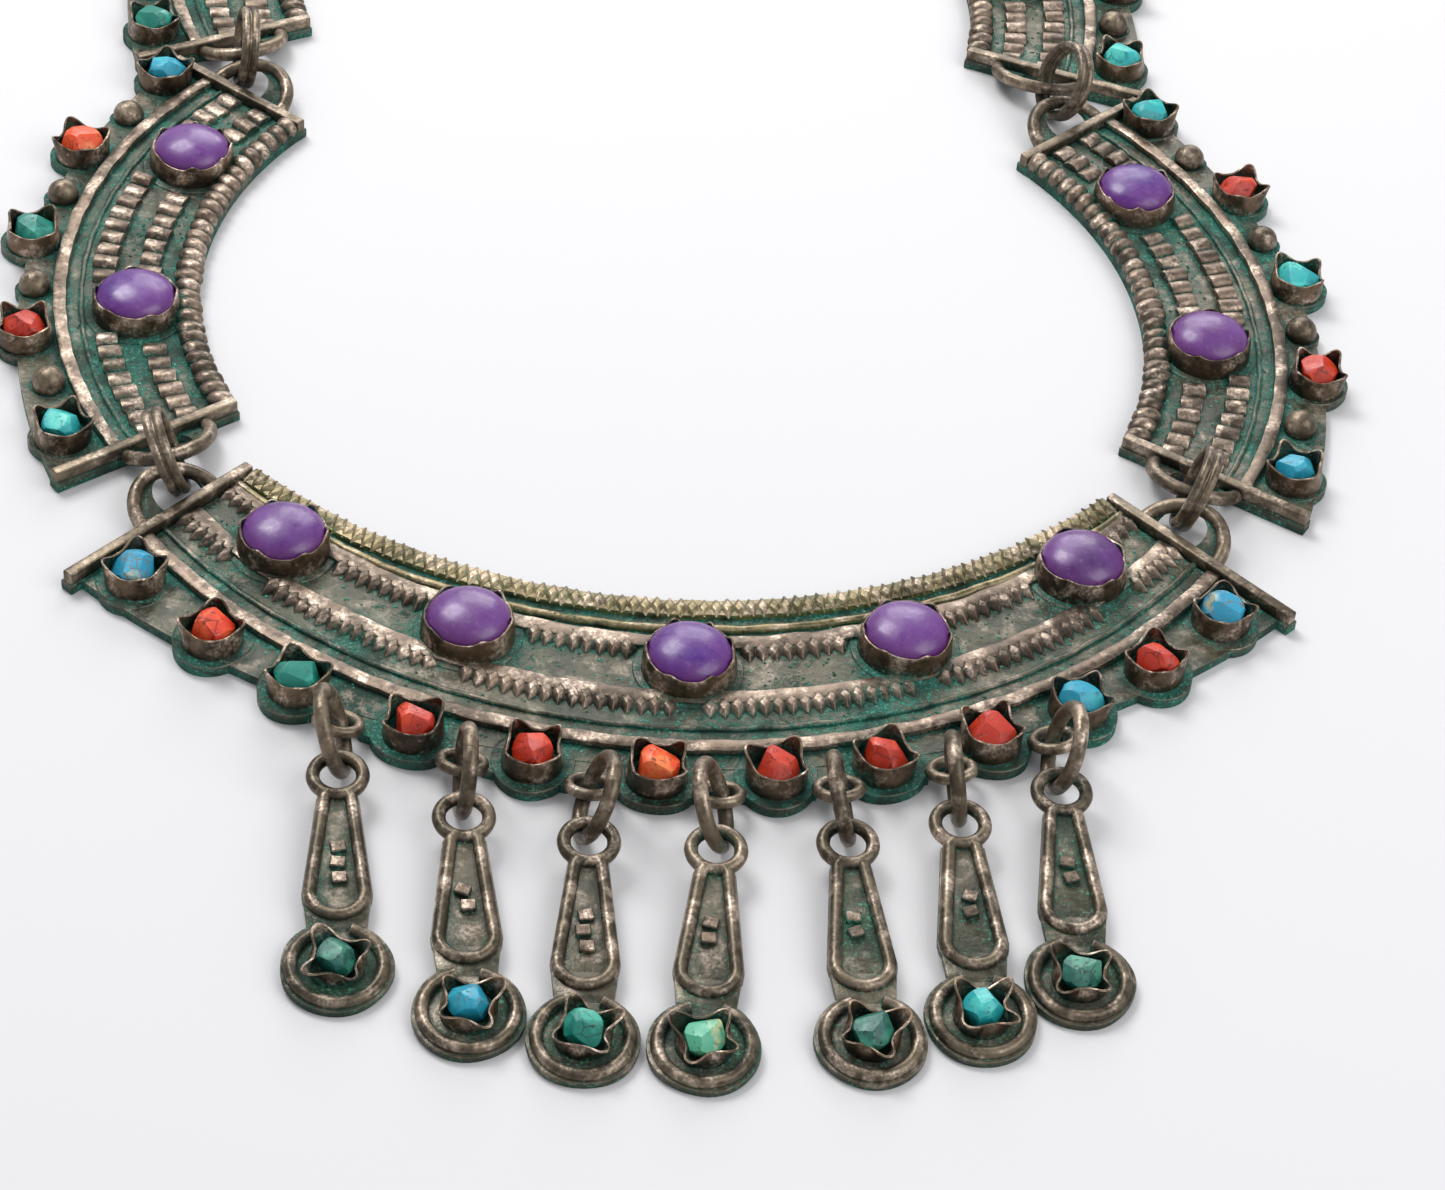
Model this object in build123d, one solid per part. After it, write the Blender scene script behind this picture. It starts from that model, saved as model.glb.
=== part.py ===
# A gemstone necklace lying on its back: a crescent centre plate with seven drops,
# three curved links up each side, double-wound join rings, and a hook clasp behind.
# The origin is under the middle stone, at the back of the centre plate.
# +X runs to the viewer's right, +Y away from the viewer, +Z up. Lengths are in millimetres.
from build123d import *
from math import asin, atan, atan2, cos, degrees, hypot, radians, sin, sqrt, tan
import os

# Sheet and wire
plate_thick = 0.9
solder_sink = 0.15          # how deep soldered pieces sink into each other
stone_gap = 0.12            # clearance round and under each stone

# Centre plate: bends are circles whose middles lie on the Y axis
centre_inner_bend = 50.9
centre_inner_edge = 7.5     # inner edge in front of the middle stone
centre_half_mouth = 35.0    # from the axis to the inner corner
centre_bar_length = 19.2
centre_bar_lean = 46.2      # degrees that an end bar drops from the X direction

# Side link: drawn with its outer edge towards -Y and its clasp end towards +X
side_inner_bend = 37.0
side_half_mouth = 19.7
side_low_bar_length = 17.0
side_low_bar_lean = 49.3
side_top_bar_length = 15.2
side_top_bar_lean = 56.5

# End bars and raised strips
bar_wide = 1.1
bar_tall = 0.9
strip_tall = 0.75

# Round settings of the large stones
setting_outer = 3.6
setting_wall = 0.3
setting_tall = 2.45
setting_dip = 0.55          # how far the rim dips between its points
setting_points = 6
collar_outer = 4.35
collar_tall = 0.3
dome_rise = 1.75            # height of the domed part of a large stone
dome_over_rim = 0.85        # how far a dome stands over its setting

point_share = 0.96          # how much of a rim its dips take up

# Four-pointed settings of the small stones
cup_outer = 2.25
cup_wall = 0.28
cup_tall = 2.4
cup_dip = 0.7
cup_points = 4
chip_over_rim = 0.15        # how far a rough stone stands over its cup
chip_waist = 0.6            # height of a rough stone's straight sides as a share of its height
chip_table = 0.62           # width of its flat top as a share of its width
chip_sides = 8

# Lobes of the back plates, past the settings that they carry
centre_lobe_margin = 0.95
side_lobe_margin = 0.5

# Granules
granule_radius = 1.4
granule_margin = 0.25
granule_centre_height = 1.45

# Loops on the plate's edge and their rings
edge_loop_middle = 1.6
edge_loop_wire = 0.45
edge_loop_tilt = 21.0
edge_loop_reach = 2.4       # from the circle of rim stones to a loop's middle
skirt_reach = 1.8           # how far the plate reaches past that circle between the lobes
drop_ring_middle = 3.1
drop_ring_wire = 0.58

# Drops
drop_thick = 0.6
drop_wire = 0.52
drop_eye_middle = 1.85
drop_eye_plate = 0.3
drop_stem_top = 1.15        # half width of the stem's wire at the eye
drop_stem_low = 2.0         # half width of the stem's wire at its round foot
drop_stem_length = 10.3
drop_stem_inset = 0.31      # from the eye's wire to the start of the stem
drop_disc_radius = 4.05
drop_disc_wire = 0.5
drop_disc_edge = 0.25       # sheet that shows outside a disc's wire
drop_disc_distance = 17.6   # from the eye's middle to the disc's middle
drop_cup_outer = 1.95
drop_cup_tall = 1.7
drop_cup_dip = 0.55
drop_tilt = 4.6             # degrees that a drop rises to its ring
drop_neck_wide = 4.2        # the sheet that joins a stem's foot to its disc
stamp_wide = 1.2
stamp_long = 1.5
stamp_turn = 8
stamp_below = 1.2           # from the middle of the stem to its raised square

# End loops and join rings
end_loop_middle = 3.75
end_loop_wire = 0.6
end_loop_place = 7.0        # from an end bar's inner end to its loop's middle
end_loop_stand = 0.45       # how far a loop's middle stands outside its bar's middle line
end_loop_tilt = 20.5
end_loop_height = 0.98
tab_thick = 0.5
tab_hole = 2.1
tab_rim = 0.2               # sheet left inside the loop's wire at the hole
tab_drop = 0.21             # how far the tab lies below the middle of the wire
join_ring_middle = 3.3
join_ring_wire = 0.4

ring_floor_gap = 0.03       # rings rest just clear of the surface
ring_clearance = 0.18       # between a ring and the wire that it holds

# Hook clasp
hook_wire = 0.45
hook_opening = 1.6          # gap that lets the hook out of its loop

# Strips on the centre plate: distance inside or outside the middle stone's circle
# at the axis, bend radius, width, and the share of the plate's half angle it covers
centre_strips = {
    "notched_rim": dict(place=6.6, bend=50.0, wide=1.7, share=1.0),
    "thin_wire": dict(place=4.35, bend=49.2, wide=0.7, share=0.97),
    "upper_row": dict(place=1.6, bend=48.0, wide=1.5, share=0.95),
    "lower_row": dict(place=-4.5, bend=50.0, wide=1.5, share=0.93),
    "outer_wire": dict(place=-8.8, bend=52.9, wide=1.2, share=0.9),
}
side_strips = {
    "notched_rim": dict(place=-6.6, bend=37.9, wide=1.8, share=1.0),
    "inner_row": dict(place=-10.0, bend=39.8, wide=1.9, share=0.97),
    "outer_row": dict(place=-13.8, bend=42.0, wide=1.9, share=0.95),
    "outer_wire": dict(place=-17.4, bend=44.3, wide=1.2, share=0.93),
}

# Large stones, rim stones and granules stand on circles, at shares of one pitch
centre_large = dict(place=0.0, bend=46.9, pitch=21.3, shares=(-2, -1, 0, 1, 2))
centre_rim = dict(
    place=-11.9, bend=56.4, pitch=9.0,
    shares=(-5.53, -4.5, -3.55, -2.42, -1.36, -0.3, 0.72, 1.66, 2.66, 3.58, 4.48, 5.44),
    kinds="TCTCCCCCCTCT",
)
first_drop_index = 2        # the rim stone before the first drop
drop_count = 7
side_large = dict(place=-11.0, bend=40.0, pitch=31.2, shares=(-0.39, 0.61))
side_rim = dict(place=-20.4, bend=48.4, pitch=15.8, shares=(-2, -1, 0, 1, 2), kinds="TCTCT")
side_granule_inset = 0.9

# How each drop hangs: turn from straight down and lean of its ring, in degrees
drop_turns = (2.4, 2.4, -1.3, -4.0, 2.8, 1.2, -0.5)
drop_ring_leans = (17, -6, -22, 22, 14, 8, -16)

# How the side links lie, from the centre to the clasp: turn of each link, and for each
# join ring the direction of its step, its slack in the loops and its lean in degrees
side_lies = {
    "right": dict(turns=(7.4, 19.0, 23.0), steps=(73.0, 105.0, 93.0, 174.0),
                  slacks=(0.7, 0.0, 0.0), leans=(16, 24, 14)),
    "left": dict(turns=(4.9, 14.0, 22.0), steps=(77.0, 83.0, 84.0, 187.0),
                 slacks=(0.4, 0.0, 0.0), leans=(-18, 8, -14)),
}

# Rough stones differ: length and width as shares of the cup, and turn in degrees
chip_shapes = (
    dict(long=0.98, wide=0.86, turn=12),
    dict(long=0.96, wide=0.72, turn=-24),
    dict(long=0.92, wide=0.8, turn=40),
    dict(long=0.99, wide=0.76, turn=-8),
)

# The lies were read off for one mouth of the centre plate. With another mouth both sides swing
# about its corners, so that the clasp between their ends keeps its length
drawn_half_mouth = 35.0
side_reach = 167.0          # from the centre plate's end loops to the clasp
mouth_swing = degrees(asin((centre_half_mouth - drawn_half_mouth) / side_reach))
for lie in side_lies.values():
    for angles in ("turns", "steps"):
        lie[angles] = tuple(angle + mouth_swing for angle in lie[angles])

plate_top = plate_thick
bar_top = plate_top + bar_tall
setting_inner = setting_outer - setting_wall
cup_inner = cup_outer - cup_wall
cutter_tall = 20.0          # cuts go right through the part


def on_circle(place, bend, angle):
    """A point on a circle that crosses the axis at place, angle degrees round from -Y."""
    turn = radians(angle)
    return bend * sin(turn), place + bend - bend * cos(turn)


def bearing(direction):
    return cos(radians(direction)), sin(radians(direction))


def along(point, direction, length):
    dx, dy = bearing(direction)
    return point[0] + dx * length, point[1] + dy * length


def curved_strip(place, bend, wide, share, half_angle):
    """A flat strip soldered along a circle."""
    reach = half_angle * share
    middle = (0, place + bend)
    outer, inner = bend + wide / 2, bend - wide / 2
    start, end = -90 - reach, -90 + reach
    edges = [
        CenterArc(middle, outer, start, 2 * reach),
        Line(along(middle, end, outer), along(middle, end, inner)),
        CenterArc(middle, inner, end, -2 * reach),
        Line(along(middle, start, inner), along(middle, start, outer)),
    ]
    face = make_face(Wire(edges).edges())
    return Pos(0, 0, plate_top - solder_sink) * extrude(face, strip_tall + solder_sink)


def pointed_tube(outer, inner, tall, dip, points):
    """A tube whose upper rim dips between its points."""
    tube = Cylinder(outer, tall, align=(Align.CENTER, Align.CENTER, Align.MIN))
    tube -= Cylinder(inner, tall, align=(Align.CENTER, Align.CENTER, Align.MIN))
    half_span = outer * sin(radians(180 / points)) * point_share
    cut_radius = (half_span ** 2 + dip ** 2) / (2 * dip)
    for k in range(points):
        cutter = Rot(0, 90, 0) * Cylinder(cut_radius, outer, align=(Align.CENTER, Align.CENTER, Align.MIN))
        tube -= Rot(0, 0, (k + 0.5) * 360 / points) * Pos(0, 0, tall - dip + cut_radius) * cutter
    return tube


def large_setting():
    """A collar plate and a round wall with a pointed rim, standing on z = 0."""
    collar = Cylinder(collar_outer, collar_tall, align=(Align.CENTER, Align.CENTER, Align.MIN))
    return collar + pointed_tube(setting_outer, setting_inner, setting_tall, setting_dip, setting_points)


def large_stone():
    """A domed stone that stands on z = 0."""
    radius = setting_inner - stone_gap
    waist = setting_tall + dome_over_rim - collar_tall - stone_gap - dome_rise
    cap = (radius ** 2 + dome_rise ** 2) / (2 * dome_rise)
    body = Cylinder(radius, waist + dome_rise, align=(Align.CENTER, Align.CENTER, Align.MIN))
    return body & Pos(0, 0, waist + dome_rise - cap) * Sphere(cap)


def rough_stone(inner, tall, shape):
    """A faceted chip with a flat top, standing on z = 0."""
    radius = inner - stone_gap
    waist = tall * chip_waist
    low = [on_circle(-radius, radius, 360 / chip_sides * k) for k in range(chip_sides)]
    outline = [(x * shape["long"], y * shape["wide"]) for x, y in low]
    table = [(x * chip_table, y * chip_table) for x, y in outline]
    body = extrude(make_face(Polyline(*outline, close=True)), waist)
    crown = loft([Pos(0, 0, waist) * make_face(Polyline(*outline, close=True)),
                  Pos(0, 0, tall) * make_face(Polyline(*table, close=True))])
    return Rot(0, 0, shape["turn"]) * (body + crown)


def end_bar(corner, direction, length):
    """A flat wire soldered across the end of a plate, over its full thickness."""
    middle = along(corner, direction, length / 2)
    bar = Box(length, bar_wide, bar_top, align=(Align.CENTER, Align.CENTER, Align.MIN))
    return Pos(*middle) * Rot(0, 0, direction) * bar


def loop_base(corner, bar_direction, outward):
    """The middle of an end loop, over the outer side of its bar."""
    return along(along(corner, bar_direction, end_loop_place), outward, end_loop_stand)


def end_loop(corner, bar_direction, outward, hole_direction):
    """A half-round wire loop on a tab, rising from the outer side of an end bar."""
    x, y = loop_base(corner, bar_direction, outward)
    wire = Torus(end_loop_middle, end_loop_wire)
    reach = end_loop_middle + end_loop_wire
    front = Pos(-end_loop_stand, 0, 0) * Box(
        reach + end_loop_stand, 2 * reach, 4 * end_loop_wire, align=(Align.MIN, Align.CENTER, Align.CENTER))
    tab = Cylinder(end_loop_middle, tab_thick) & front
    hole = Cylinder(tab_hole, 2 * tab_thick)
    slide = end_loop_middle - tab_hole - tab_rim
    tab -= Rot(0, 0, hole_direction - outward) * Pos(slide, 0, 0) * hole
    loop = (wire & front) + Pos(0, 0, -tab_drop) * tab
    return Pos(x, y, end_loop_height) * Rot(0, 0, outward) * Rot(0, -end_loop_tilt, 0) * loop


def edge_loop(x, y, direction):
    """A small ring soldered on a plate's edge, its outer side raised."""
    loop = Torus(edge_loop_middle, edge_loop_wire)
    lift = plate_top + edge_loop_wire - solder_sink + edge_loop_middle * sin(radians(edge_loop_tilt))
    return Pos(x, y, lift) * Rot(0, 0, direction) * Rot(0, -edge_loop_tilt, 0) * loop, lift


def plate_outline(corners, tips, inner_edge, rim, lobes, notches, skirt):
    """The back plate: a band between two bends, with a lobe under each rim setting."""
    (left, right), (left_tip, right_tip) = corners, tips
    inner_mid = (0, inner_edge)
    rim_mid = (0, rim["place"])
    edges = [
        ThreePointArc(left, inner_mid, right),
        Line(right, right_tip),
        ThreePointArc(right_tip, rim_mid, left_tip),
        Line(left_tip, left),
    ]
    face = make_face(Wire(edges).edges())
    for x, y, radius in lobes:
        face += Pos(x, y) * Circle(radius)
    if skirt:
        face += skirt
    for x, y, radius in notches:
        face -= Pos(x, y) * Circle(radius)
    return extrude(face, plate_thick)


def sector(place, inner, outer, start, end):
    """A piece of a flat ring between two angles round from -Y."""
    middle = (0, place)
    a, b = start - 90, end - 90
    edges = [
        CenterArc(middle, outer, a, b - a),
        Line(along(middle, b, outer), along(middle, b, inner)),
        CenterArc(middle, inner, b, a - b),
        Line(along(middle, a, inner), along(middle, a, outer)),
    ]
    return make_face(Wire(edges).edges())


def stone_places(row):
    return [on_circle(row["place"], row["bend"], row["pitch"] * share) for share in row["shares"]]


def fuse(first, others):
    solid = first.fuse(*others) if others else first
    return solid.solid() if len(solid.solids()) == 1 else solid


def ring_height(middle, wire, lean, coil_offset=0.0):
    """Height of the middle of a leaning ring that rests on the surface."""
    slope = radians(abs(lean))
    return ring_floor_gap + wire + middle * cos(slope) + coil_offset * sin(slope)


def loop_wire(middle, tilt, height, outward, direction):
    """Where a tilted loop's wire crosses a direction from the loop's middle: its distance
    and height there, and how steeply it climbs towards the left of that direction."""
    off, slope = radians(direction - outward), radians(tilt)
    distance = middle * sqrt((cos(off) * cos(slope)) ** 2 + sin(off) ** 2)
    return distance, height + middle * cos(off) * sin(slope), -sin(off) * sin(slope)


def held_distance(height, middle, wire, lean, held_height, held_climb, held_wire, coil_offset=0.0):
    """How far from a ring's middle, along its direction, it holds another wire."""
    slope = radians(lean)
    askew = atan(tan(slope) - held_climb)
    down = (height - held_height) / cos(slope) + coil_offset * abs(tan(askew))
    room = middle - (wire + held_wire) / cos(askew) - ring_clearance
    return sqrt(max(room ** 2 - down ** 2, 0))


def ring_place(base, direction, way, height, lean, held_height):
    """Where a leaning ring's middle goes so that it crosses the held wires' height on the
    line from base."""
    on_line = along(base, direction, way)
    return along(on_line, direction - 90, (height - held_height) * tan(radians(lean)))


def standing_ring(x, y, direction, height, middle, wire, lean, double=False):
    """A ring in a leaning upright plane that contains the given direction."""
    ring = Torus(middle, wire)
    if double:
        coil = Torus(middle, wire)
        web = Cylinder(middle + wire / 2, 2 * wire) - Cylinder(middle - wire / 2, 2 * wire)
        ring = fuse(web, [Pos(0, 0, -wire) * coil, Pos(0, 0, wire) * coil])
    return Pos(x, y, height) * Rot(0, 0, direction) * Rot(lean, 0, 0) * Rot(90, 0, 0) * ring


parts = {}


def keep(name, solids):
    """File the solids of one node, in the order in which they are made."""
    parts.setdefault(name, []).extend(solids)


# Centre plate
centre_sag = centre_inner_bend - sqrt(centre_inner_bend ** 2 - centre_half_mouth ** 2)
centre_corner_y = centre_inner_edge + centre_sag
centre_half_angle = degrees(asin(centre_half_mouth / centre_inner_bend))
right_corner = (centre_half_mouth, centre_corner_y)
left_corner = (-centre_half_mouth, centre_corner_y)
right_tip = along(right_corner, -centre_bar_lean, centre_bar_length)
left_tip = (-right_tip[0], right_tip[1])
rim_points = stone_places(centre_rim)
lobe = cup_outer + centre_lobe_margin
rim_angles = [centre_rim["pitch"] * share for share in centre_rim["shares"]]
last_drop_index = first_drop_index + drop_count
drop_angles = rim_angles[first_drop_index:last_drop_index + 1]
loop_angles = [(a + b) / 2 for a, b in zip(drop_angles, drop_angles[1:])]
loop_places = [
    on_circle(centre_rim["place"] - edge_loop_reach, centre_rim["bend"] + edge_loop_reach, angle)
    for angle in loop_angles
]
skirt = sector(centre_rim["place"] + centre_rim["bend"], centre_rim["bend"] - skirt_reach,
               centre_rim["bend"] + skirt_reach, drop_angles[0], drop_angles[-1])
plate = plate_outline(
    (left_corner, right_corner), (left_tip, right_tip), centre_inner_edge, centre_rim,
    [(x, y, lobe) for x, y in rim_points], [(x, y, edge_loop_middle) for x, y in loop_places], skirt,
)
pieces = [curved_strip(half_angle=centre_half_angle, **strip) for strip in centre_strips.values()]
pieces.append(end_bar(right_corner, -centre_bar_lean, centre_bar_length))
pieces.append(end_bar(left_corner, 180 + centre_bar_lean, centre_bar_length))
large = large_setting()
large_places = stone_places(centre_large)
raised = fuse(pieces[0], pieces[1:])
for x, y in large_places:
    raised -= Pos(x, y) * Cylinder(setting_inner, cutter_tall)
for x, y in rim_points:
    raised -= Pos(x, y) * Cylinder(cup_inner, cutter_tall)
cup = pointed_tube(cup_outer, cup_inner, cup_tall + solder_sink, cup_dip, cup_points)
settings = [Pos(x, y, plate_top - solder_sink) * large for x, y in large_places]
settings += [Pos(x, y, plate_top - solder_sink) * Rot(0, 0, angle) * cup
             for (x, y), angle in zip(rim_points, rim_angles)]
edge_loops = [edge_loop(x, y, angle - 90) for (x, y), angle in zip(loop_places, loop_angles)]
end_loops = [
    end_loop(right_corner, -centre_bar_lean, 90 - centre_bar_lean, side_lies["right"]["steps"][0]),
    end_loop(left_corner, 180 + centre_bar_lean, 90 + centre_bar_lean, 180 - side_lies["left"]["steps"][0]),
]
edge_loop_pieces = [loop for loop, _ in edge_loops]
keep("centre_plate", [fuse(plate, [raised] + settings + edge_loop_pieces + end_loops)])

# Centre stones
stone = large_stone()
stone_floor = plate_top - solder_sink + collar_tall + stone_gap
for number, (x, y) in enumerate(large_places, 1):
    keep(f"centre_amethyst_{number}", [Pos(x, y, stone_floor) * stone])
chip_floor = plate_top + stone_gap
chip_tall = cup_tall + chip_over_rim - stone_gap
chips = [rough_stone(cup_inner, chip_tall, shape) for shape in chip_shapes]
kind_names = {"T": "turquoises", "C": "corals"}
for number, ((x, y), kind) in enumerate(zip(rim_points, centre_rim["kinds"])):
    chip = Pos(x, y, chip_floor) * Rot(0, 0, rim_angles[number]) * chips[number % len(chips)]
    keep(f"centre_{kind_names[kind]}", [chip])

# Drops and their rings
drop_cup_inner = drop_cup_outer - cup_wall
drop_top = drop_thick + drop_wire
stem_start = drop_eye_middle + drop_stem_inset
stem_end = stem_start + drop_stem_length
eye = Pos(0, 0, drop_thick) * Torus(drop_eye_middle, drop_wire)
eye_plate = Pos(0, 0, drop_thick) * Cylinder(
    drop_eye_middle, drop_eye_plate, align=(Align.CENTER, Align.CENTER, Align.MAX))
eye_plate -= Cylinder(drop_eye_middle - drop_wire / 2, 4 * drop_thick)


def stem_face(grow):
    """The stem's outline: straight sides from the eye to a round foot."""
    top, low = drop_stem_top + grow, drop_stem_low + grow
    foot = stem_end - drop_stem_low
    edges = [
        Line((-top, -stem_start), (top, -stem_start)),
        Line((top, -stem_start), (low, -foot)),
        ThreePointArc((low, -foot), (0, -foot - low), (-low, -foot)),
        Line((-low, -foot), (-top, -stem_start)),
    ]
    return make_face(Wire(edges).edges())


stem_rim = extrude(stem_face(drop_wire), drop_top) - extrude(stem_face(-drop_wire), drop_top)
stem_plate = extrude(stem_face(drop_wire), drop_thick)
disc = Cylinder(drop_disc_radius, drop_thick, align=(Align.CENTER, Align.CENTER, Align.MIN))
disc_wire_middle = drop_disc_radius - drop_disc_edge - drop_disc_wire
disc_wire = Pos(0, 0, drop_thick) * Torus(disc_wire_middle, drop_disc_wire)
drop_cup = Pos(0, 0, drop_thick - solder_sink) * pointed_tube(
    drop_cup_outer, drop_cup_inner, drop_cup_tall + solder_sink, drop_cup_dip, cup_points)
stamp_place = (stem_start + stem_end) / 2 + stamp_below
stamp = Pos(0, -stamp_place, drop_thick - solder_sink) * Rot(0, 0, stamp_turn) * Box(
    stamp_wide, stamp_long, drop_wire + solder_sink, align=(Align.CENTER, Align.CENTER, Align.MIN))
disc_place = Pos(0, -drop_disc_distance, 0)
neck_length = drop_disc_distance - stem_end
neck = Pos(0, -stem_end - neck_length / 2, 0) * Box(
    drop_neck_wide, neck_length, drop_thick, align=(Align.CENTER, Align.CENTER, Align.MIN))
drop_foot = [disc_place * piece for piece in (disc, disc_wire, drop_cup)]
drop = fuse(eye_plate, [eye, stem_plate, stem_rim, stamp, neck] + drop_foot)
drop_chip_tall = drop_cup_tall + chip_over_rim - stone_gap
drop_chips = [rough_stone(drop_cup_inner, drop_chip_tall, shape) for shape in chip_shapes]
disc_foot = drop_disc_distance + drop_disc_radius
eye_height = disc_foot * sin(radians(drop_tilt))
eye_middle_height = eye_height + drop_thick * cos(radians(drop_tilt))
for number, (middle, turn, lean) in enumerate(zip(loop_places, drop_turns, drop_ring_leans), 1):
    heading = turn - 90
    height = ring_height(drop_ring_middle, drop_ring_wire, lean)
    ring_size = (height, drop_ring_middle, drop_ring_wire, lean)
    loop_distance, *loop_held = loop_wire(
        edge_loop_middle, edge_loop_tilt, edge_loops[0][1], loop_angles[number - 1] - 90, heading)
    eye_distance, *eye_held = loop_wire(
        drop_eye_middle, drop_tilt, eye_middle_height, heading + 180, heading + 180)
    to_ring = loop_distance + held_distance(*ring_size, *loop_held, edge_loop_wire)
    to_eye = to_ring + held_distance(*ring_size, *eye_held, drop_wire) + eye_distance
    held_height = (loop_held[0] + eye_held[0]) / 2
    ring_at = ring_place(middle, heading, to_ring, height, lean, held_height)
    keep(f"drop_ring_{number}", [standing_ring(*ring_at, heading, *ring_size)])
    place = Pos(*along(middle, heading, to_eye), eye_height) * Rot(0, 0, turn) * Rot(drop_tilt, 0, 0)
    keep(f"drop_{number}", [place * drop])
    chip = disc_place * Pos(0, 0, drop_thick + stone_gap) * drop_chips[number % len(drop_chips)]
    keep(f"drop_turquoise_{number}", [place * chip])

# Side link, drawn once with its lower end towards -X
side_inner_edge = sqrt(side_inner_bend ** 2 - side_half_mouth ** 2) - side_inner_bend
side_half_angle = degrees(asin(side_half_mouth / side_inner_bend))
low_corner = (-side_half_mouth, 0)
top_corner = (side_half_mouth, 0)
low_direction = 180 + side_low_bar_lean
top_direction = -side_top_bar_lean
low_tip = along(low_corner, low_direction, side_low_bar_length)
top_tip = along(top_corner, top_direction, side_top_bar_length)
side_rim_points = stone_places(side_rim)
side_rim_angles = [side_rim["pitch"] * share for share in side_rim["shares"]]
granule_angles = [(a + b) / 2 for a, b in zip(side_rim_angles, side_rim_angles[1:])]
granule_points = [
    on_circle(side_rim["place"] + side_granule_inset, side_rim["bend"] - side_granule_inset, angle)
    for angle in granule_angles
]
side_lobes = [(x, y, cup_outer + side_lobe_margin) for x, y in side_rim_points]
side_lobes += [(x, y, granule_radius + granule_margin) for x, y in granule_points]
side_plate = plate_outline(
    (low_corner, top_corner), (low_tip, top_tip), side_inner_edge, side_rim, side_lobes, [], None)
pieces = [curved_strip(half_angle=side_half_angle, **strip) for strip in side_strips.values()]
pieces.append(end_bar(low_corner, low_direction, side_low_bar_length))
pieces.append(end_bar(top_corner, top_direction, side_top_bar_length))
side_large_places = stone_places(side_large)
side_raised = fuse(pieces[0], pieces[1:])
for x, y in side_large_places:
    side_raised -= Pos(x, y) * Cylinder(setting_inner, cutter_tall)
for x, y in side_rim_points:
    side_raised -= Pos(x, y) * Cylinder(cup_inner, cutter_tall)
side_settings = [Pos(x, y, plate_top - solder_sink) * large for x, y in side_large_places]
side_settings += [Pos(x, y, plate_top - solder_sink) * Rot(0, 0, angle) * cup
                  for (x, y), angle in zip(side_rim_points, side_rim_angles)]
granules = [Pos(x, y, granule_centre_height) * Sphere(granule_radius) for x, y in granule_points]
side_metal = fuse(side_plate, [side_raised] + side_settings + granules)


def side_place(mirror, x, y, turn):
    """Puts the drawn link in the necklace: turned so that its outer edge faces out."""
    if mirror:
        return Pos(x, y) * Rot(0, 0, -90 - turn)
    return Pos(x, y) * Rot(0, 0, 90 + turn)


def to_necklace(mirror, x, y, turn, point):
    """The same placing for one point of the drawn link."""
    px = -point[0] if mirror else point[0]
    angle = radians(-90 - turn if mirror else 90 + turn)
    return x + px * cos(angle) - point[1] * sin(angle), y + px * sin(angle) + point[1] * cos(angle)


end_loop_size = (end_loop_middle, end_loop_tilt, end_loop_height)
low_outward = low_direction - 90
top_outward = top_direction + 90


def join_step(first, second, lean, slack):
    """A join ring between two end loops' wires, each given as loop_wire gives it.
    Returns the ring's height and that of the wires, and the way from the first loop's
    middle to the ring and on from the ring to the second loop's middle."""
    height = ring_height(join_ring_middle, join_ring_wire, lean, join_ring_wire)
    ring_size = (height, join_ring_middle, join_ring_wire, lean)
    (first_distance, *first_held), (second_distance, *second_held) = first, second
    second_held[1] *= -1
    ways = [distance + held_distance(*ring_size, *held, end_loop_wire, join_ring_wire) - slack / 2
            for distance, held in ((first_distance, first_held), (second_distance, second_held))]
    return height, (first[1] + second[1]) / 2, ways[0], ways[1]


def join_ring(base, direction, way, height, lean, held_height):
    place = ring_place(base, direction, way, height, lean, held_height)
    return standing_ring(*place, direction, height, join_ring_middle, join_ring_wire, lean, double=True)


centre_outward = 90 - centre_bar_lean
last_bases = {}
for side, lie in side_lies.items():
    mirror = side == "left"
    outward = centre_outward
    if mirror:
        base = loop_base(left_corner, 180 + centre_bar_lean, 180 - centre_outward)
    else:
        base = loop_base(right_corner, -centre_bar_lean, centre_outward)
    for number, turn in enumerate(lie["turns"], 1):
        step, next_step = lie["steps"][number - 1:number + 1]
        lean, slack = lie["leans"][number - 1], lie["slacks"][number - 1]
        spin = 90 + turn
        height, held_height, to_ring, from_ring = join_step(
            loop_wire(*end_loop_size, outward, step),
            loop_wire(*end_loop_size, low_outward + spin, step + 180), -lean if mirror else lean, slack)
        step_out = 180 - step if mirror else step
        keep(f"{side}_join_ring_{number}", [join_ring(base, step_out, to_ring, height, lean, held_height)])
        low_base = along(base, step_out, to_ring + from_ring)
        drawn_low = to_necklace(mirror, 0, 0, turn, loop_base(low_corner, low_direction, low_outward))
        x, y = low_base[0] - drawn_low[0], low_base[1] - drawn_low[1]
        # The tabs' holes face the rings, whose directions are given in the drawn link
        low_loop = end_loop(low_corner, low_direction, low_outward, step + 180 - spin)
        top_loop = end_loop(top_corner, top_direction, top_outward, next_step - spin)
        metal = fuse(side_metal, [low_loop, top_loop])
        if mirror:
            metal = metal.mirror(Plane.YZ)
        keep(f"{side}_link_{number}", [side_place(mirror, x, y, turn) * metal])
        for count, point in enumerate(side_large_places, 1):
            place = Pos(*to_necklace(mirror, x, y, turn, point), stone_floor)
            keep(f"{side}_amethyst_{2 * number - 2 + count}", [place * stone])
        for count, (point, kind) in enumerate(zip(side_rim_points, side_rim["kinds"])):
            place = Pos(*to_necklace(mirror, x, y, turn, point), chip_floor)
            keep(f"{side}_{kind_names[kind]}", [place * chips[(count + number) % len(chips)]])
        base = to_necklace(mirror, x, y, turn, loop_base(top_corner, top_direction, top_outward))
        outward = top_outward + spin
    last_bases[side] = base, outward

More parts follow.
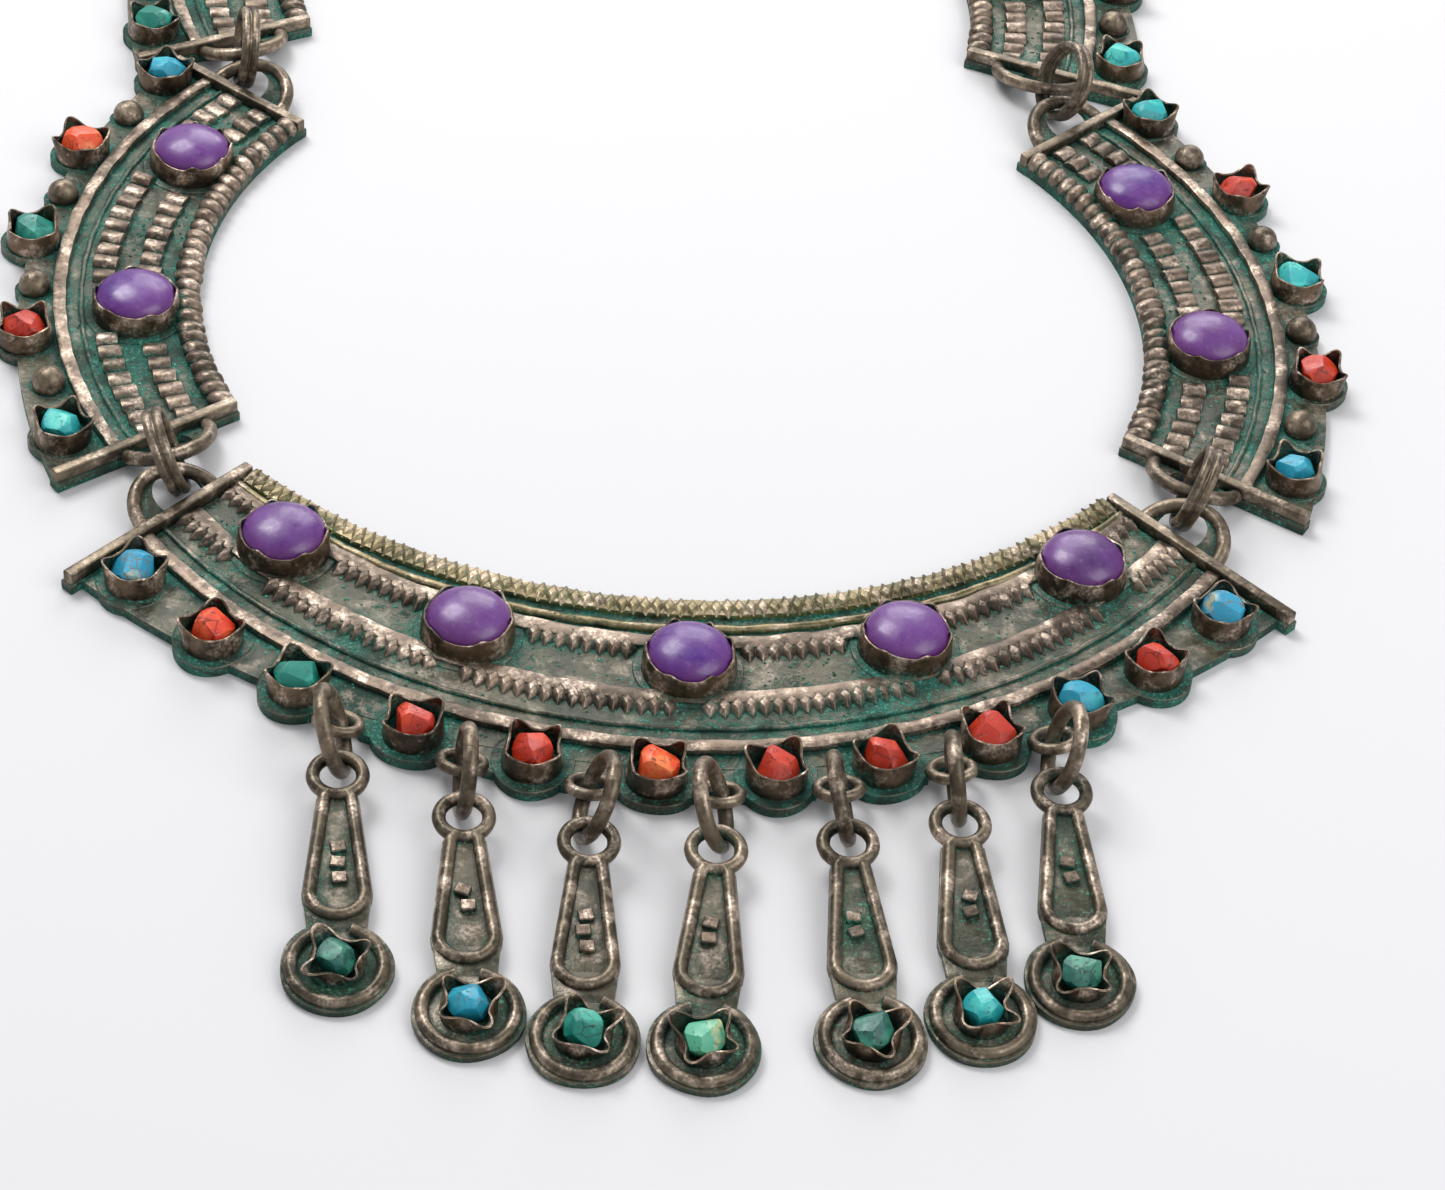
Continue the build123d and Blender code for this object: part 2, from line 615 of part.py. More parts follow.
# Hook clasp: a long open ring that stands in the last two end loops
(right_base, right_outward), (left_base, left_outward) = last_bases["right"], last_bases["left"]
to_left = degrees(atan2(left_base[1] - right_base[1], left_base[0] - right_base[0]))
clasp_length = hypot(left_base[0] - right_base[0], left_base[1] - right_base[1])
hook_height = ring_height(join_ring_middle, hook_wire, 0)
ways = []
for outward, direction in ((right_outward, to_left), (180 - left_outward, to_left + 180)):
    distance, *held = loop_wire(*end_loop_size, outward, direction)
    ways.append(distance + held_distance(hook_height, join_ring_middle, hook_wire, 0, *held, end_loop_wire))
stretch = clasp_length - sum(ways)
bend_half = Box(
    2 * join_ring_middle, 4 * join_ring_middle, 4 * hook_wire, align=(Align.MAX, Align.CENTER, Align.CENTER))
bend = Torus(join_ring_middle, hook_wire) & bend_half
lower_side = Rot(0, 90, 0) * Cylinder(hook_wire, stretch)
upper_side = Rot(0, 90, 0) * Cylinder(
    hook_wire, stretch - hook_opening, align=(Align.CENTER, Align.CENTER, Align.MIN))
hook = fuse(Pos(0, -join_ring_middle, 0) * lower_side, [
    Pos(-stretch / 2, 0, 0) * bend,
    Pos(stretch / 2, 0, 0) * Rot(0, 0, 180) * bend,
    Pos(-stretch / 2, join_ring_middle, 0) * upper_side,
    Pos(stretch / 2 - hook_opening, join_ring_middle, 0) * Sphere(hook_wire),
])
hook_place = along(right_base, to_left, ways[0] + stretch / 2)
keep("clasp_hook", [Pos(*hook_place, hook_height) * Rot(0, 0, to_left) * Rot(90, 0, 0) * hook])

os.makedirs("parts", exist_ok=True)
for name, solids in parts.items():
    shape = solids[0] if len(solids) == 1 else Compound(children=solids)
    export_step(shape, f"parts/{name}.step")
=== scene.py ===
# %% [markdown]
# A gemstone necklace: a curved centre plate with seven drops, curved plates up each side, stones in
# folded metal settings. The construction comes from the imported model, which is loaded first and stays
# where it is. Everything here is modelled in millimetres, because bevels and spins are easier to think
# about at that size, and each finished piece is scaled to metres at the end.

# %% Load the frame
import math
import random

import bpy
from mathutils import Matrix, Vector


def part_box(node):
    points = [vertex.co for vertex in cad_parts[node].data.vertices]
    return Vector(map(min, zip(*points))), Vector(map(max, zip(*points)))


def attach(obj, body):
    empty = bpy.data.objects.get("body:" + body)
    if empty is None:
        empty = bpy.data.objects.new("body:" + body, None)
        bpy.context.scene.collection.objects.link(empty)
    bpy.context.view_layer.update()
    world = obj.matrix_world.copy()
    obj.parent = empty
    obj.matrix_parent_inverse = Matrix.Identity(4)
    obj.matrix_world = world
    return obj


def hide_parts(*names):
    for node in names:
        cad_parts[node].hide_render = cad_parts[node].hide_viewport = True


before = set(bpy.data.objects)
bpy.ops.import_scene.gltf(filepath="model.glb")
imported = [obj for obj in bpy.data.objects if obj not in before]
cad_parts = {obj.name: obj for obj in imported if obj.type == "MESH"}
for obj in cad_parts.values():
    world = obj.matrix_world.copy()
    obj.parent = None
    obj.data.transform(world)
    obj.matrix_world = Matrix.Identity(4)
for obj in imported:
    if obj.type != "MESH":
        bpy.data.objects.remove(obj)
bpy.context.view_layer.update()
MM = 0.001
chance = random.Random(7)
print("nodes", len(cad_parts))

# %% [markdown]
# The camera stands in front of the necklace and looks down at about 42 degrees, with a long lens, so that
# near and far pieces keep almost the same size. Its place and the three directions of its turn are given
# as numbers, because a turn typed as three angles is hard to get right.

# %% Camera
camera_place = Vector((-18.013, -213.267, 202.780))
camera_right = Vector((0.99701, -0.02875, 0.07172))
camera_down = Vector((0.03363, -0.67417, -0.73781))
camera_forward = Vector((0.06956, 0.73801, -0.67119))
camera_focal = 94.9
bpy.ops.object.camera_add()
camera = bpy.context.object
camera.name = "camera"
camera.data.lens = camera_focal
camera.data.sensor_width = 36
camera.data.clip_start = 0.01
turn = Matrix((camera_right, -camera_down, -camera_forward)).transposed().to_4x4()
camera.matrix_world = Matrix.Translation(camera_place * MM) @ turn
bpy.context.scene.camera = camera
print("camera at", [round(v) for v in camera_place], "mm")

# %% [markdown]
# A pale sheet of paper fills the floor. Three soft area lights and a bright room give the wide, gentle
# highlights that old metal shows on a white table.

# %% Floor and light
bpy.ops.mesh.primitive_plane_add(size=6)
floor = bpy.context.object
floor.name = "paper_floor"
paper = bpy.data.materials.new("paper")
paper.use_nodes = True
paper.node_tree.nodes["Principled BSDF"].inputs["Base Color"].default_value = (0.57, 0.565, 0.57, 1)
paper.node_tree.nodes["Principled BSDF"].inputs["Roughness"].default_value = 0.9
floor.data.materials.append(paper)


def area_light(name, place, aim, size, power):
    """A square soft light that looks at a point."""
    bpy.ops.object.light_add(type="AREA", location=Vector(place) * MM)
    light = bpy.context.object
    light.name = name
    light.data.size = size * MM
    light.data.energy = power
    heading = Vector(aim) - Vector(place)
    light.rotation_euler = heading.to_track_quat("-Z", "Y").to_euler()
    return light


area_light("key_light", (-200, 300, 460), (0, 40, 0), 240, 2.4)
area_light("fill_light", (330, -160, 380), (0, 30, 0), 380, 1.4)
area_light("back_light", (60, 480, 260), (0, 60, 0), 300, 1.2)
bpy.context.scene.view_settings.view_transform = "Standard"
world = bpy.data.worlds.new("room")
bpy.context.scene.world = world
world.use_nodes = True
world.node_tree.nodes["Background"].inputs["Color"].default_value = (0.95, 0.96, 1.0, 1)
world.node_tree.nodes["Background"].inputs["Strength"].default_value = 0.6

# %% [markdown]
# Old silver that was never polished has three skins: bare worn metal on whatever stands up, a brown-grey
# tarnish over the sheet, and blue-green crust in the corners where polish and sweat collected. The bare
# metal is pale and pinkish, and it is also a painted highlight on the worn edges and in mottled patches;
# the corners are also darkened nearly to black as painted shade. A shader can find the corners by asking
# how much open sky each point sees, and the worn edges by how sharply the surface bends there. Noise
# breaks both up, so that no border is clean.


# %% Small steps for building materials
class Recipe:
    """A material under construction: adds nodes and joins them in one line."""

    def __init__(self, name):
        self.material = bpy.data.materials.new(name)
        self.material.use_nodes = True
        self.tree = self.material.node_tree
        self.surface = self.tree.nodes["Principled BSDF"]
        self.place = self.add("ShaderNodeTexCoord").outputs["Object"]
        self.true_normal = self.add("ShaderNodeNewGeometry").outputs["Normal"]

    def add(self, kind, inputs=None, **settings):
        node = self.tree.nodes.new(kind)
        for key, value in settings.items():
            setattr(node, key, value)
        for key, value in (inputs or {}).items():
            self.give(node.inputs[key], value)
        return node

    def give(self, socket, value):
        if isinstance(value, bpy.types.NodeSocket):
            self.tree.links.new(value, socket)
        else:
            socket.default_value = value

    def noise(self, scale, detail=3.0, rough=0.6, place=None):
        node = self.add("ShaderNodeTexNoise", {
            "Vector": place or self.place, "Scale": scale, "Detail": detail, "Roughness": rough})
        return node.outputs["Fac"]

    def ramp(self, value, low, high, bottom=0.0, top=1.0):
        node = self.add("ShaderNodeMapRange", {
            "Value": value, "From Min": low, "From Max": high, "To Min": bottom, "To Max": top})
        node.clamp = True
        return node.outputs["Result"]

    def math(self, operation, first, second=0.0):
        node = self.add("ShaderNodeMath", {0: first, 1: second}, operation=operation)
        return node.outputs[0]

    def blend(self, share, first, second):
        node = self.add("ShaderNodeMix", {0: share, 6: first, 7: second}, data_type="RGBA")
        return node.outputs[2]

    def bump(self, height, strength, distance):
        node = self.add("ShaderNodeBump", {"Height": height, "Strength": strength, "Distance": distance * MM})
        return node.outputs["Normal"]

    def finish(self, **sockets):
        for key, value in sockets.items():
            self.give(self.surface.inputs[key.replace("_", " ").title()], value)
        return self.material


def colour(red, green, blue):
    """A colour picked on a screen, turned into the light values that a shader wants."""
    return tuple((v / 255) ** 2.2 for v in (red, green, blue)) + (1,)


# %% Silver, tarnished and worn, with painted highlight and shade
def old_silver(name, crust, worn_and_lit, tone, dark, crust_tone=(30, 92, 80), spread=0.3, shine=0.65):
    """Tarnished silver, with painted shade that darkens its hollows. Its numbers say how strong the green
    crust is, how strong the bare metal is, which shows wear and is also a painted pinkish highlight, and
    how much of the clean metal's mirror is left (shine)."""
    mix = Recipe(name)
    cloud = mix.noise(160, 4)
    grain = mix.noise(1400, 3)
    speck = mix.noise(3600, 2)
    sky = mix.add("ShaderNodeAmbientOcclusion", {"Distance": 1.6 * MM}, samples=6).outputs["AO"]
    round_off = mix.add("ShaderNodeBevel", {"Radius": 0.12 * MM}, samples=4).outputs["Normal"]
    facing = mix.add("ShaderNodeVectorMath", {0: round_off, 1: mix.true_normal}, operation="DOT_PRODUCT")
    edge = mix.math("SUBTRACT", 1.0, facing.outputs["Value"])
    hollow = mix.math("ADD", mix.math("SUBTRACT", 1.0, sky), mix.ramp(grain, 0.3, 0.7, -0.16, 0.16))
    tarnish_and_shade = mix.blend(mix.ramp(mix.math("ADD", cloud, mix.ramp(grain, 0.3, 0.7, -0.14, 0.14)), 0.4, 0.62),
                        colour(*dark), colour(*tone))
    # Painted shade: the tarnish is darkened nearly to black wherever the ambient occlusion mask finds a
    # hollow.
    tarnish_and_shade = mix.blend(mix.ramp(hollow, 0.14, 0.62, 0, 0.85), tarnish_and_shade, colour(32, 30, 26))
    outward = mix.ramp(hollow, 0.3, 0.6, 1, 0)
    # Painted highlight: the pale pinkish bare metal on worn edges and in mottled rubbed patches is real wear
    # that also stands in for highlights on the tops.
    bare_and_highlight = mix.math("MULTIPLY", mix.ramp(edge, 0.06, 0.3), mix.ramp(grain, 0.36, 0.62, 0.3, 1))
    rubbed_and_highlight = mix.math("MULTIPLY", mix.ramp(mix.noise(520, 4), 0.5, 0.66), mix.ramp(speck, 0.4, 0.6, 0.2, 0.8))
    bare_and_highlight = mix.math("MULTIPLY", mix.math("MAXIMUM", bare_and_highlight, rubbed_and_highlight), mix.math("MULTIPLY", outward, worn_and_lit))
    metal = mix.blend(bare_and_highlight, tarnish_and_shade, colour(222, 200, 180))
    patch = mix.math("ADD", hollow, mix.ramp(mix.noise(95, 4), 0.35, 0.68, -0.34, 0.26))
    patch = mix.math("ADD", patch, mix.ramp(speck, 0.35, 0.65, -0.14, 0.14))
    green = mix.math("MULTIPLY", mix.ramp(patch, spread, spread + 0.2), crust)
    bright = mix.blend(mix.ramp(speck, 0.54, 0.7), colour(*crust_tone), colour(84, 150, 128))
    bright = mix.blend(mix.ramp(mix.noise(380, 4), 0.44, 0.6, 0, 0.85), bright, colour(26, 44, 34))
    skin = mix.blend(green, metal, bright)
    rough = mix.ramp(mix.math("ADD", green, grain), 0.3, 1.5, 0.3, 0.85)
    height = mix.math("ADD", mix.math("MULTIPLY", grain, 0.7), mix.math("MULTIPLY", green, speck))
    metallic = mix.ramp(green, 0, 1, shine, 0.03)
    return mix.finish(base_color=skin, metallic=metallic, roughness=rough,
                      normal=mix.bump(height, 0.7, 0.14))


silver_sheet = old_silver("silver_sheet", 1.0, 0.4, (82, 78, 62), (50, 52, 40), (26, 92, 80), 0.06, 0.35)
silver_strip = old_silver("silver_strip", 0.9, 1.0, (122, 106, 92), (76, 66, 56), (34, 92, 78), 0.34)
silver_wire = old_silver("silver_wire", 0.5, 0.75, (118, 105, 88), (78, 69, 57), (56, 80, 64), 0.48)
silver_setting = old_silver("silver_setting", 0.8, 1.0, (106, 88, 70), (62, 52, 42), (34, 94, 80), 0.5)
silver_drop = old_silver("silver_drop", 0.7, 0.8, (106, 95, 79), (66, 59, 48), (42, 70, 56), 0.36)
silver_ground = old_silver("silver_ground", 0.9, 0.45, (84, 78, 63), (54, 53, 41), (42, 74, 54), 0.2, 0.45)
silver_yellow = old_silver("silver_yellow", 0.9, 0.9, (136, 122, 92), (84, 77, 54), (112, 118, 62), 0.24)

# %% [markdown]
# In the hollows the green crust has grown into loose grains. They are modelled as small lumps further
# down, and take a matt, chalky finish of their own, from teal to dark green.


# %% Grains of corrosion
def grain_crust():
    """The finish of the loose grains."""
    mix = Recipe("verdigris")
    body = mix.blend(mix.ramp(mix.noise(700, 3), 0.38, 0.62), colour(28, 78, 64), colour(78, 146, 126))
    body = mix.blend(mix.ramp(mix.noise(120, 2), 0.46, 0.6), body, colour(40, 58, 42))
    return mix.finish(base_color=body, roughness=0.8, normal=mix.bump(mix.noise(4000, 2), 0.4, 0.05))


verdigris = grain_crust()

# %% [markdown]
# Two kinds of stone are set. The violet ones are milky: light goes into them a little way, so they get
# some subsurface scattering under a thin coat. The blue-green and orange-red ones are opaque, with two
# colours in patches and dark veins. A pattern of cells gives the veins, and noise breaks them up.


# %% Stones
def amethyst(name, shade):
    """Milky quartz, pale and frosted on top; painted shade makes it deeper pink-violet towards the lower
    edge.
    """
    mix = Recipe(name)
    cloud = mix.noise(260, 4)
    fine = mix.noise(2600, 3)
    height = mix.add("ShaderNodeSeparateXYZ", {0: mix.place}).outputs["Z"]
    low = mix.ramp(height, 2.6 * MM, 3.9 * MM, 1, 0)
    body = mix.blend(mix.ramp(cloud, 0.35, 0.65), colour(*shade), colour(98, 56, 122))
    body = mix.blend(mix.ramp(fine, 0.56, 0.7, 0, 0.3), body, colour(134, 104, 150))
    # Painted shade: lower on the stone the colour turns deeper and darker pink-violet, so the top stays pale.
    body = mix.blend(mix.math("MULTIPLY", low, 0.75), body, colour(88, 6, 96))
    rough = mix.ramp(mix.noise(900, 3), 0.35, 0.7, 0.26, 0.5)
    surface = mix.finish(base_color=body, roughness=rough, normal=mix.bump(fine, 0.12, 0.05))
    mix.surface.inputs["Subsurface Weight"].default_value = 0.2
    mix.surface.inputs["Subsurface Radius"].default_value = (0.9, 0.4, 1.0)
    mix.surface.inputs["Subsurface Scale"].default_value = 1.2 * MM
    mix.surface.inputs["Coat Weight"].default_value = 0.15
    mix.surface.inputs["Coat Roughness"].default_value = 0.12
    return surface


def rough_gem(name, base, second, vein, patch=0.5):
    """An opaque tumbled stone: two colours in patches and thin dark veins and pits."""
    mix = Recipe(name)
    body = mix.blend(mix.ramp(mix.noise(420, 3), patch, patch + 0.12), colour(*base), colour(*second))
    cells = mix.add("ShaderNodeTexVoronoi", {"Vector": mix.place, "Scale": 720}, feature="DISTANCE_TO_EDGE")
    crack = mix.math("MULTIPLY", mix.ramp(cells.outputs["Distance"], 0.0, 0.05, 1, 0),
                     mix.ramp(mix.noise(500, 2), 0.5, 0.62))
    body = mix.blend(crack, body, colour(*vein))
    pits = mix.ramp(mix.noise(2300, 2), 0.63, 0.7)
    body = mix.blend(mix.math("MULTIPLY", pits, 0.8), body, colour(*vein))
    height = mix.math("SUBTRACT", mix.noise(1300, 4), pits)
    return mix.finish(base_color=body, roughness=mix.ramp(mix.noise(800, 2), 0.3, 0.7, 0.28, 0.55),
                      normal=mix.bump(height, 0.4, 0.1))


violet = [amethyst(f"amethyst_{n}", shade) for n, shade in enumerate(
    ((70, 26, 98), (84, 42, 104), (64, 12, 108), (84, 38, 110), (62, 26, 84)), 1)]
coral_red = [rough_gem(f"coral_{n}", base, second, (92, 28, 16)) for n, (base, second) in enumerate((
    ((196, 52, 26), (214, 82, 44)), ((172, 46, 28), (200, 64, 36)), ((214, 74, 34), (226, 120, 66))), 1)]
sky_blue = rough_gem("turquoise_sky", (30, 138, 164), (58, 166, 180), (96, 78, 48))
sky_tan = rough_gem("turquoise_tan", (40, 136, 168), (178, 166, 120), (110, 84, 44), 0.56)
sea_green = rough_gem("turquoise_sea", (24, 116, 102), (52, 150, 130), (34, 60, 46))
pale_green = rough_gem("turquoise_pale", (74, 158, 126), (190, 190, 140), (84, 96, 56), 0.55)
deep_green = rough_gem("turquoise_deep", (30, 88, 78), (58, 128, 106), (26, 34, 28), 0.48)
clear_blue = rough_gem("turquoise_clear", (36, 152, 154), (70, 182, 170), (40, 110, 110))
print("materials", len(bpy.data.materials))

# %% [markdown]
# Most pieces start as a primitive or as a small profile that is spun round a bend. These few helpers
# wrap the moves that every piece needs: clear the selection, go in and out of edit mode, copy a master
# with a mesh of its own, and join the copies into one piece.


# %% Modelling helpers
def drop_selection():
    bpy.ops.object.select_all(action="DESELECT")


def pick(piece):
    """Makes the piece the only selected one, and the active one."""
    drop_selection()
    piece.select_set(True)
    bpy.context.view_layer.objects.active = piece


def into_edit(piece):
    pick(piece)
    bpy.ops.object.mode_set(mode="EDIT")
    bpy.ops.mesh.select_all(action="SELECT")


def out_of_edit():
    bpy.ops.mesh.select_all(action="SELECT")
    bpy.ops.mesh.normals_make_consistent(inside=False)
    bpy.ops.object.mode_set(mode="OBJECT")


def settle(piece):
    """Writes the piece's own place and turn into its mesh."""
    piece.data.transform(piece.matrix_world)
    piece.matrix_world = Matrix()
    return piece


def wear(piece, material):
    piece.data.materials.clear()
    piece.data.materials.append(material)
    return piece


def modify(piece, kind, **settings):
    """Adds one modifier and applies it at once."""
    pick(piece)
    modifier = piece.modifiers.new(kind.lower(), kind)
    for key, value in settings.items():
        setattr(modifier, key, value)
    bpy.ops.object.modifier_apply(modifier=modifier.name)
    return piece


def twin(master, matrix=Matrix()):
    """A copy with its own mesh."""
    copy = master.copy()
    copy.data = master.data.copy()
    bpy.context.collection.objects.link(copy)
    copy.matrix_world = matrix @ master.matrix_world
    return copy


def at(x, y, z=0.0, turn=0.0, size=(1, 1, 1), lean=0.0):
    """The matrix of a place, a turn about Z, a lean about the turned X, and a size."""
    return (Matrix.Translation((x, y, z)) @ Matrix.Rotation(math.radians(turn), 4, "Z")
            @ Matrix.Rotation(math.radians(lean), 4, "X") @ Matrix.Diagonal((*size, 1)))


def join(name, pieces):
    drop_selection()
    for piece in pieces:
        settle(piece)
        piece.select_set(True)
    bpy.context.view_layer.objects.active = pieces[0]
    if len(pieces) > 1:
        bpy.ops.object.join()
    whole = bpy.context.view_layer.objects.active
    whole.name = name
    return whole


smooth_below = 38       # degrees between two faces, past which their edge stays sharp


def hand_in(piece, slot, *nodes):
    """Turns a finished piece to metres, smooths it, hangs it on the root body and hides the imported parts
    that it replaces.
    """
    piece.data.transform(Matrix.Scale(MM, 4))
    pick(piece)
    bpy.ops.object.shade_smooth_by_angle(angle=math.radians(smooth_below))
    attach(piece, "root")
    if nodes:
        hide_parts(*nodes)
    return piece


def box_middle(node):
    low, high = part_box(node)
    return Vector([(a + b) / 2 / MM for a, b in zip(low, high)])


def spin_profile(profile, middle, angle, steps):
    """Sweeps a filled profile round a vertical line, with a cap at each end."""
    settle(profile)
    into_edit(profile)
    bpy.ops.mesh.spin(steps=steps, angle=math.radians(angle), center=(*middle, 0), axis=(0, 0, -1))
    out_of_edit()
    return profile


def on_circle(place, bend, angle):
    """A point on a circle that crosses the Y axis at place, angle degrees round from -Y."""
    turn = math.radians(angle)
    return bend * math.sin(turn), place + bend - bend * math.cos(turn)


bar_step = 0.9          # length of one step of a swept bar


def curved_bar(place, bend, ends, wide, tall, floor_z, round_top, material, bevel=0.12):
    """A bar along a circle: a flat strip, or a wire of oval section when round_top is set."""
    start, end = ends
    x, y = on_circle(place, bend, start)
    if round_top:
        bpy.ops.mesh.primitive_circle_add(
            vertices=12, radius=0.5, fill_type="NGON", rotation=(math.pi / 2, 0, 0))
    else:
        bpy.ops.mesh.primitive_plane_add(size=1, rotation=(math.pi / 2, 0, 0))
    bar = settle(bpy.context.object)
    bar.matrix_world = at(x, y, floor_z + tall / 2, start - 90, (wide, 1, tall))
    steps = max(12, int(math.radians(end - start) * bend / bar_step))
    spin_profile(bar, (0, place + bend), end - start, steps)
    if not round_top:
        modify(bar, "BEVEL", width=bevel, segments=2, limit_method="ANGLE", angle_limit=math.radians(40))
    return wear(roughen(bar, 0.05), material)


def roughen(piece, amount):
    """Moves each point a little, by smooth waves, because old hand work is never quite straight."""
    for point in piece.data.vertices:
        x, y = point.co.x, point.co.y
        point.co.z += amount * (math.sin(1.3 * x + 0.9 * y) + math.sin(2.9 * y - 2.1 * x) * 0.6)
        point.co.x += amount * 0.7 * math.sin(1.7 * y + 0.5 * x)
        point.co.y += amount * 0.7 * math.sin(1.9 * x - 0.6 * y)
    return piece


# %% [markdown]
# A large stone sits in a round wall of thin sheet on a wider collar. The maker pushed the wall's edge
# over the stone in a few places, so it waves: low where it was pressed, with small points between. The
# wall starts as an open tube, its rings are moved in and down by a wave, and a modifier gives the
# sheet its thickness.

# %% Setting of a large stone
wall_radius = 3.5
wall_tall = 2.5
wall_dip = 0.5
sheet_of_settings = 0.2


def tube(sides, radius, tall, cuts):
    """An open tube with a ring of points at each of the given shares of its height."""
    bpy.ops.mesh.primitive_cylinder_add(
        vertices=sides, radius=radius, depth=tall, end_fill_type="NOTHING", location=(0, 0, tall / 2))
    wall = settle(bpy.context.object)
    into_edit(wall)
    for share in cuts:
        bpy.ops.mesh.select_all(action="SELECT")
        bpy.ops.mesh.bisect(plane_co=(0, 0, tall * share), plane_no=(0, 0, 1))
    out_of_edit()
    return wall


def waved_wall(dips, dip, uneven):
    wall = tube(96, wall_radius, wall_tall, (0.5, 0.8))
    for point in wall.data.vertices:
        angle = math.atan2(point.co.y, point.co.x)
        rise = point.co.z / wall_tall
        wave = 0.5 + 0.5 * math.cos(dips * angle + uneven * math.sin(angle + uneven))
        press = 1 - wave ** 4
        swell = 1.07 - 0.05 * rise - 0.05 * rise ** 6 * press + 0.015 * math.sin(3 * angle + uneven)
        point.co.x *= swell
        point.co.y *= swell
        point.co.z -= dip * rise ** 3 * press * (0.75 + 0.25 * math.sin(2 * angle + uneven))
    modify(wall, "SOLIDIFY", thickness=sheet_of_settings, offset=-1)
    return wear(modify(wall, "BEVEL", width=0.05, segments=1), silver_setting)


collar_radius, collar_tall, collar_middle = 4.35, 0.42, 0.09


def collar():
    bpy.ops.mesh.primitive_cylinder_add(
        vertices=64, radius=collar_radius, depth=collar_tall, location=(0, 0, collar_middle))
    ring = settle(bpy.context.object)
    modify(ring, "BEVEL", width=0.16, segments=3, limit_method="ANGLE")
    return wear(ring, silver_sheet)


large_settings = [join(f"large_setting_{n}", [waved_wall(dips, wall_dip, uneven), collar()])
                  for n, (dips, uneven) in enumerate(((6, 0.5), (5, 1.3), (7, 2.1)), 1)]
print("faces in a setting", len(large_settings[0].data.polygons))

# %% [markdown]
# The small stones sit in cups like open tulips: four corners stand up and bend outwards, and the sides
# between them fold in over the stone. The same kind of tube does it, with a stronger wave.

# %% Four-cornered cup
cup_radius = 2.25
cup_tall = 2.35


def tulip_cup(uneven, flare=0.16, fold=0.16):
    cup = tube(64, cup_radius, cup_tall, (0.3, 0.55, 0.75, 0.9))
    for point in cup.data.vertices:
        angle = math.atan2(point.co.y, point.co.x)
        rise = point.co.z / cup_tall
        corner = abs(math.cos(2 * angle + 0.3 * math.sin(angle + uneven))) ** 3
        lift = 1 + 0.35 * math.sin(angle + uneven * 3)
        swell = 1.06 - 0.04 * rise + rise ** 2 * (flare * corner * lift - fold * (1 - corner))
        point.co.x *= swell
        point.co.y *= swell
        point.co.z -= 0.5 * rise ** 3 * (1 - corner) - 0.1 * rise ** 4 * corner * lift
    modify(cup, "SOLIDIFY", thickness=sheet_of_settings, offset=-1)
    return wear(modify(cup, "BEVEL", width=0.04, segments=1), silver_setting)


cups = [tulip_cup(uneven) for uneven in (0.2, 1.1, 2.4, 3.3)]
stars = [tulip_cup(uneven, 0.42, 0.24) for uneven in (0.6, 1.7, 2.9)]
print("faces in a cup", len(cups[0].data.polygons))

# %% [markdown]
# Rough chips of stone were tumbled, not cut, so they are blunt lumps with a few flat sides. A sphere
# sliced by seven planes, with the cuts softened, is close to that.


# %% Tumbled chips
chip_cuts = 7


def tumbled_chip(number):
    draw = random.Random(number)
    bpy.ops.mesh.primitive_uv_sphere_add(segments=20, ring_count=12, radius=1.0)
    chip = bpy.context.object
    into_edit(chip)
    for cut in range(chip_cuts):
        turn = cut * 51 + draw.uniform(-18, 18)
        slope = draw.uniform(-0.2, 0.9) if cut else 2.5
        normal = Vector((math.cos(math.radians(turn)), math.sin(math.radians(turn)), slope)).normalized()
        bpy.ops.mesh.select_all(action="SELECT")
        bpy.ops.mesh.bisect(plane_co=normal * draw.uniform(0.66, 0.86), plane_no=normal,
                            use_fill=True, clear_outer=True)
    out_of_edit()
    modify(chip, "BEVEL", width=0.09, segments=2, limit_method="ANGLE", angle_limit=math.radians(22))
    return chip


chips = [tumbled_chip(number) for number in range(11, 17)]
print("chips", len(chips))


def set_chip(name, place, inner, top, turn, stretch, material, lean=0.0):
    """A chip sized to its cup, standing up to the given height above the floor."""
    low = place[2]
    tall = top - low
    master = chips[chance.randrange(len(chips))]
    chip = twin(master, at(place[0], place[1], low + tall * 0.45, turn,
                           (inner * stretch, inner * 0.98, tall * 0.62), lean))
    chip.name = name
    return wear(chip, material)


# %% [markdown]
# The centre plate is a band of sheet between two bends. A thin upright rectangle spun round the common
# middle of the bends gives the band, and round lobes under the edge settings give its wavy front edge.

# %% Centre plate sheet
plate_thick = 0.9
centre_corner = (35.0, 21.44)
centre_bar_lean = 46.2
centre_bar_long = 19.2
rim_place, rim_bend, rim_pitch = -11.9, 56.4, 9.0
rim_shares = (-5.53, -4.5, -3.55, -2.42, -1.36, -0.3, 0.72, 1.66, 2.66, 3.58, 4.48, 5.44)
rim_kinds = "TCTCCCCCCTCT"
rim_angles = [rim_pitch * share for share in rim_shares]
loop_angles = [(a + b) / 2 for a, b in zip(rim_angles[2:9], rim_angles[3:10])]
loop_reach = 2.4
loop_radius, loop_wire, loop_tilt = 1.6, 0.45, 21.0
rim_points = [on_circle(rim_place, rim_bend, angle) for angle in rim_angles]
loop_points = [on_circle(rim_place - loop_reach, rim_bend + loop_reach, angle) for angle in loop_angles]


def step_along(point, direction, length):
    turn = math.radians(direction)
    return point[0] + math.cos(turn) * length, point[1] + math.sin(turn) * length


def spun_sheet(start, end, middle, angle, steps, tall):
    """A band of sheet swept from a straight edge that runs from start to end."""
    bpy.ops.mesh.primitive_plane_add(size=1, rotation=(math.pi / 2, 0, 0))
    sheet = settle(bpy.context.object)
    run = Vector((end[0] - start[0], end[1] - start[1]))
    heading = math.degrees(math.atan2(run.y, run.x))
    sheet.matrix_world = at((start[0] + end[0]) / 2, (start[1] + end[1]) / 2, tall / 2, heading,
                            (run.length, 1, tall))
    spin_profile(sheet, middle, angle, steps)
    return wear(sheet, silver_sheet)


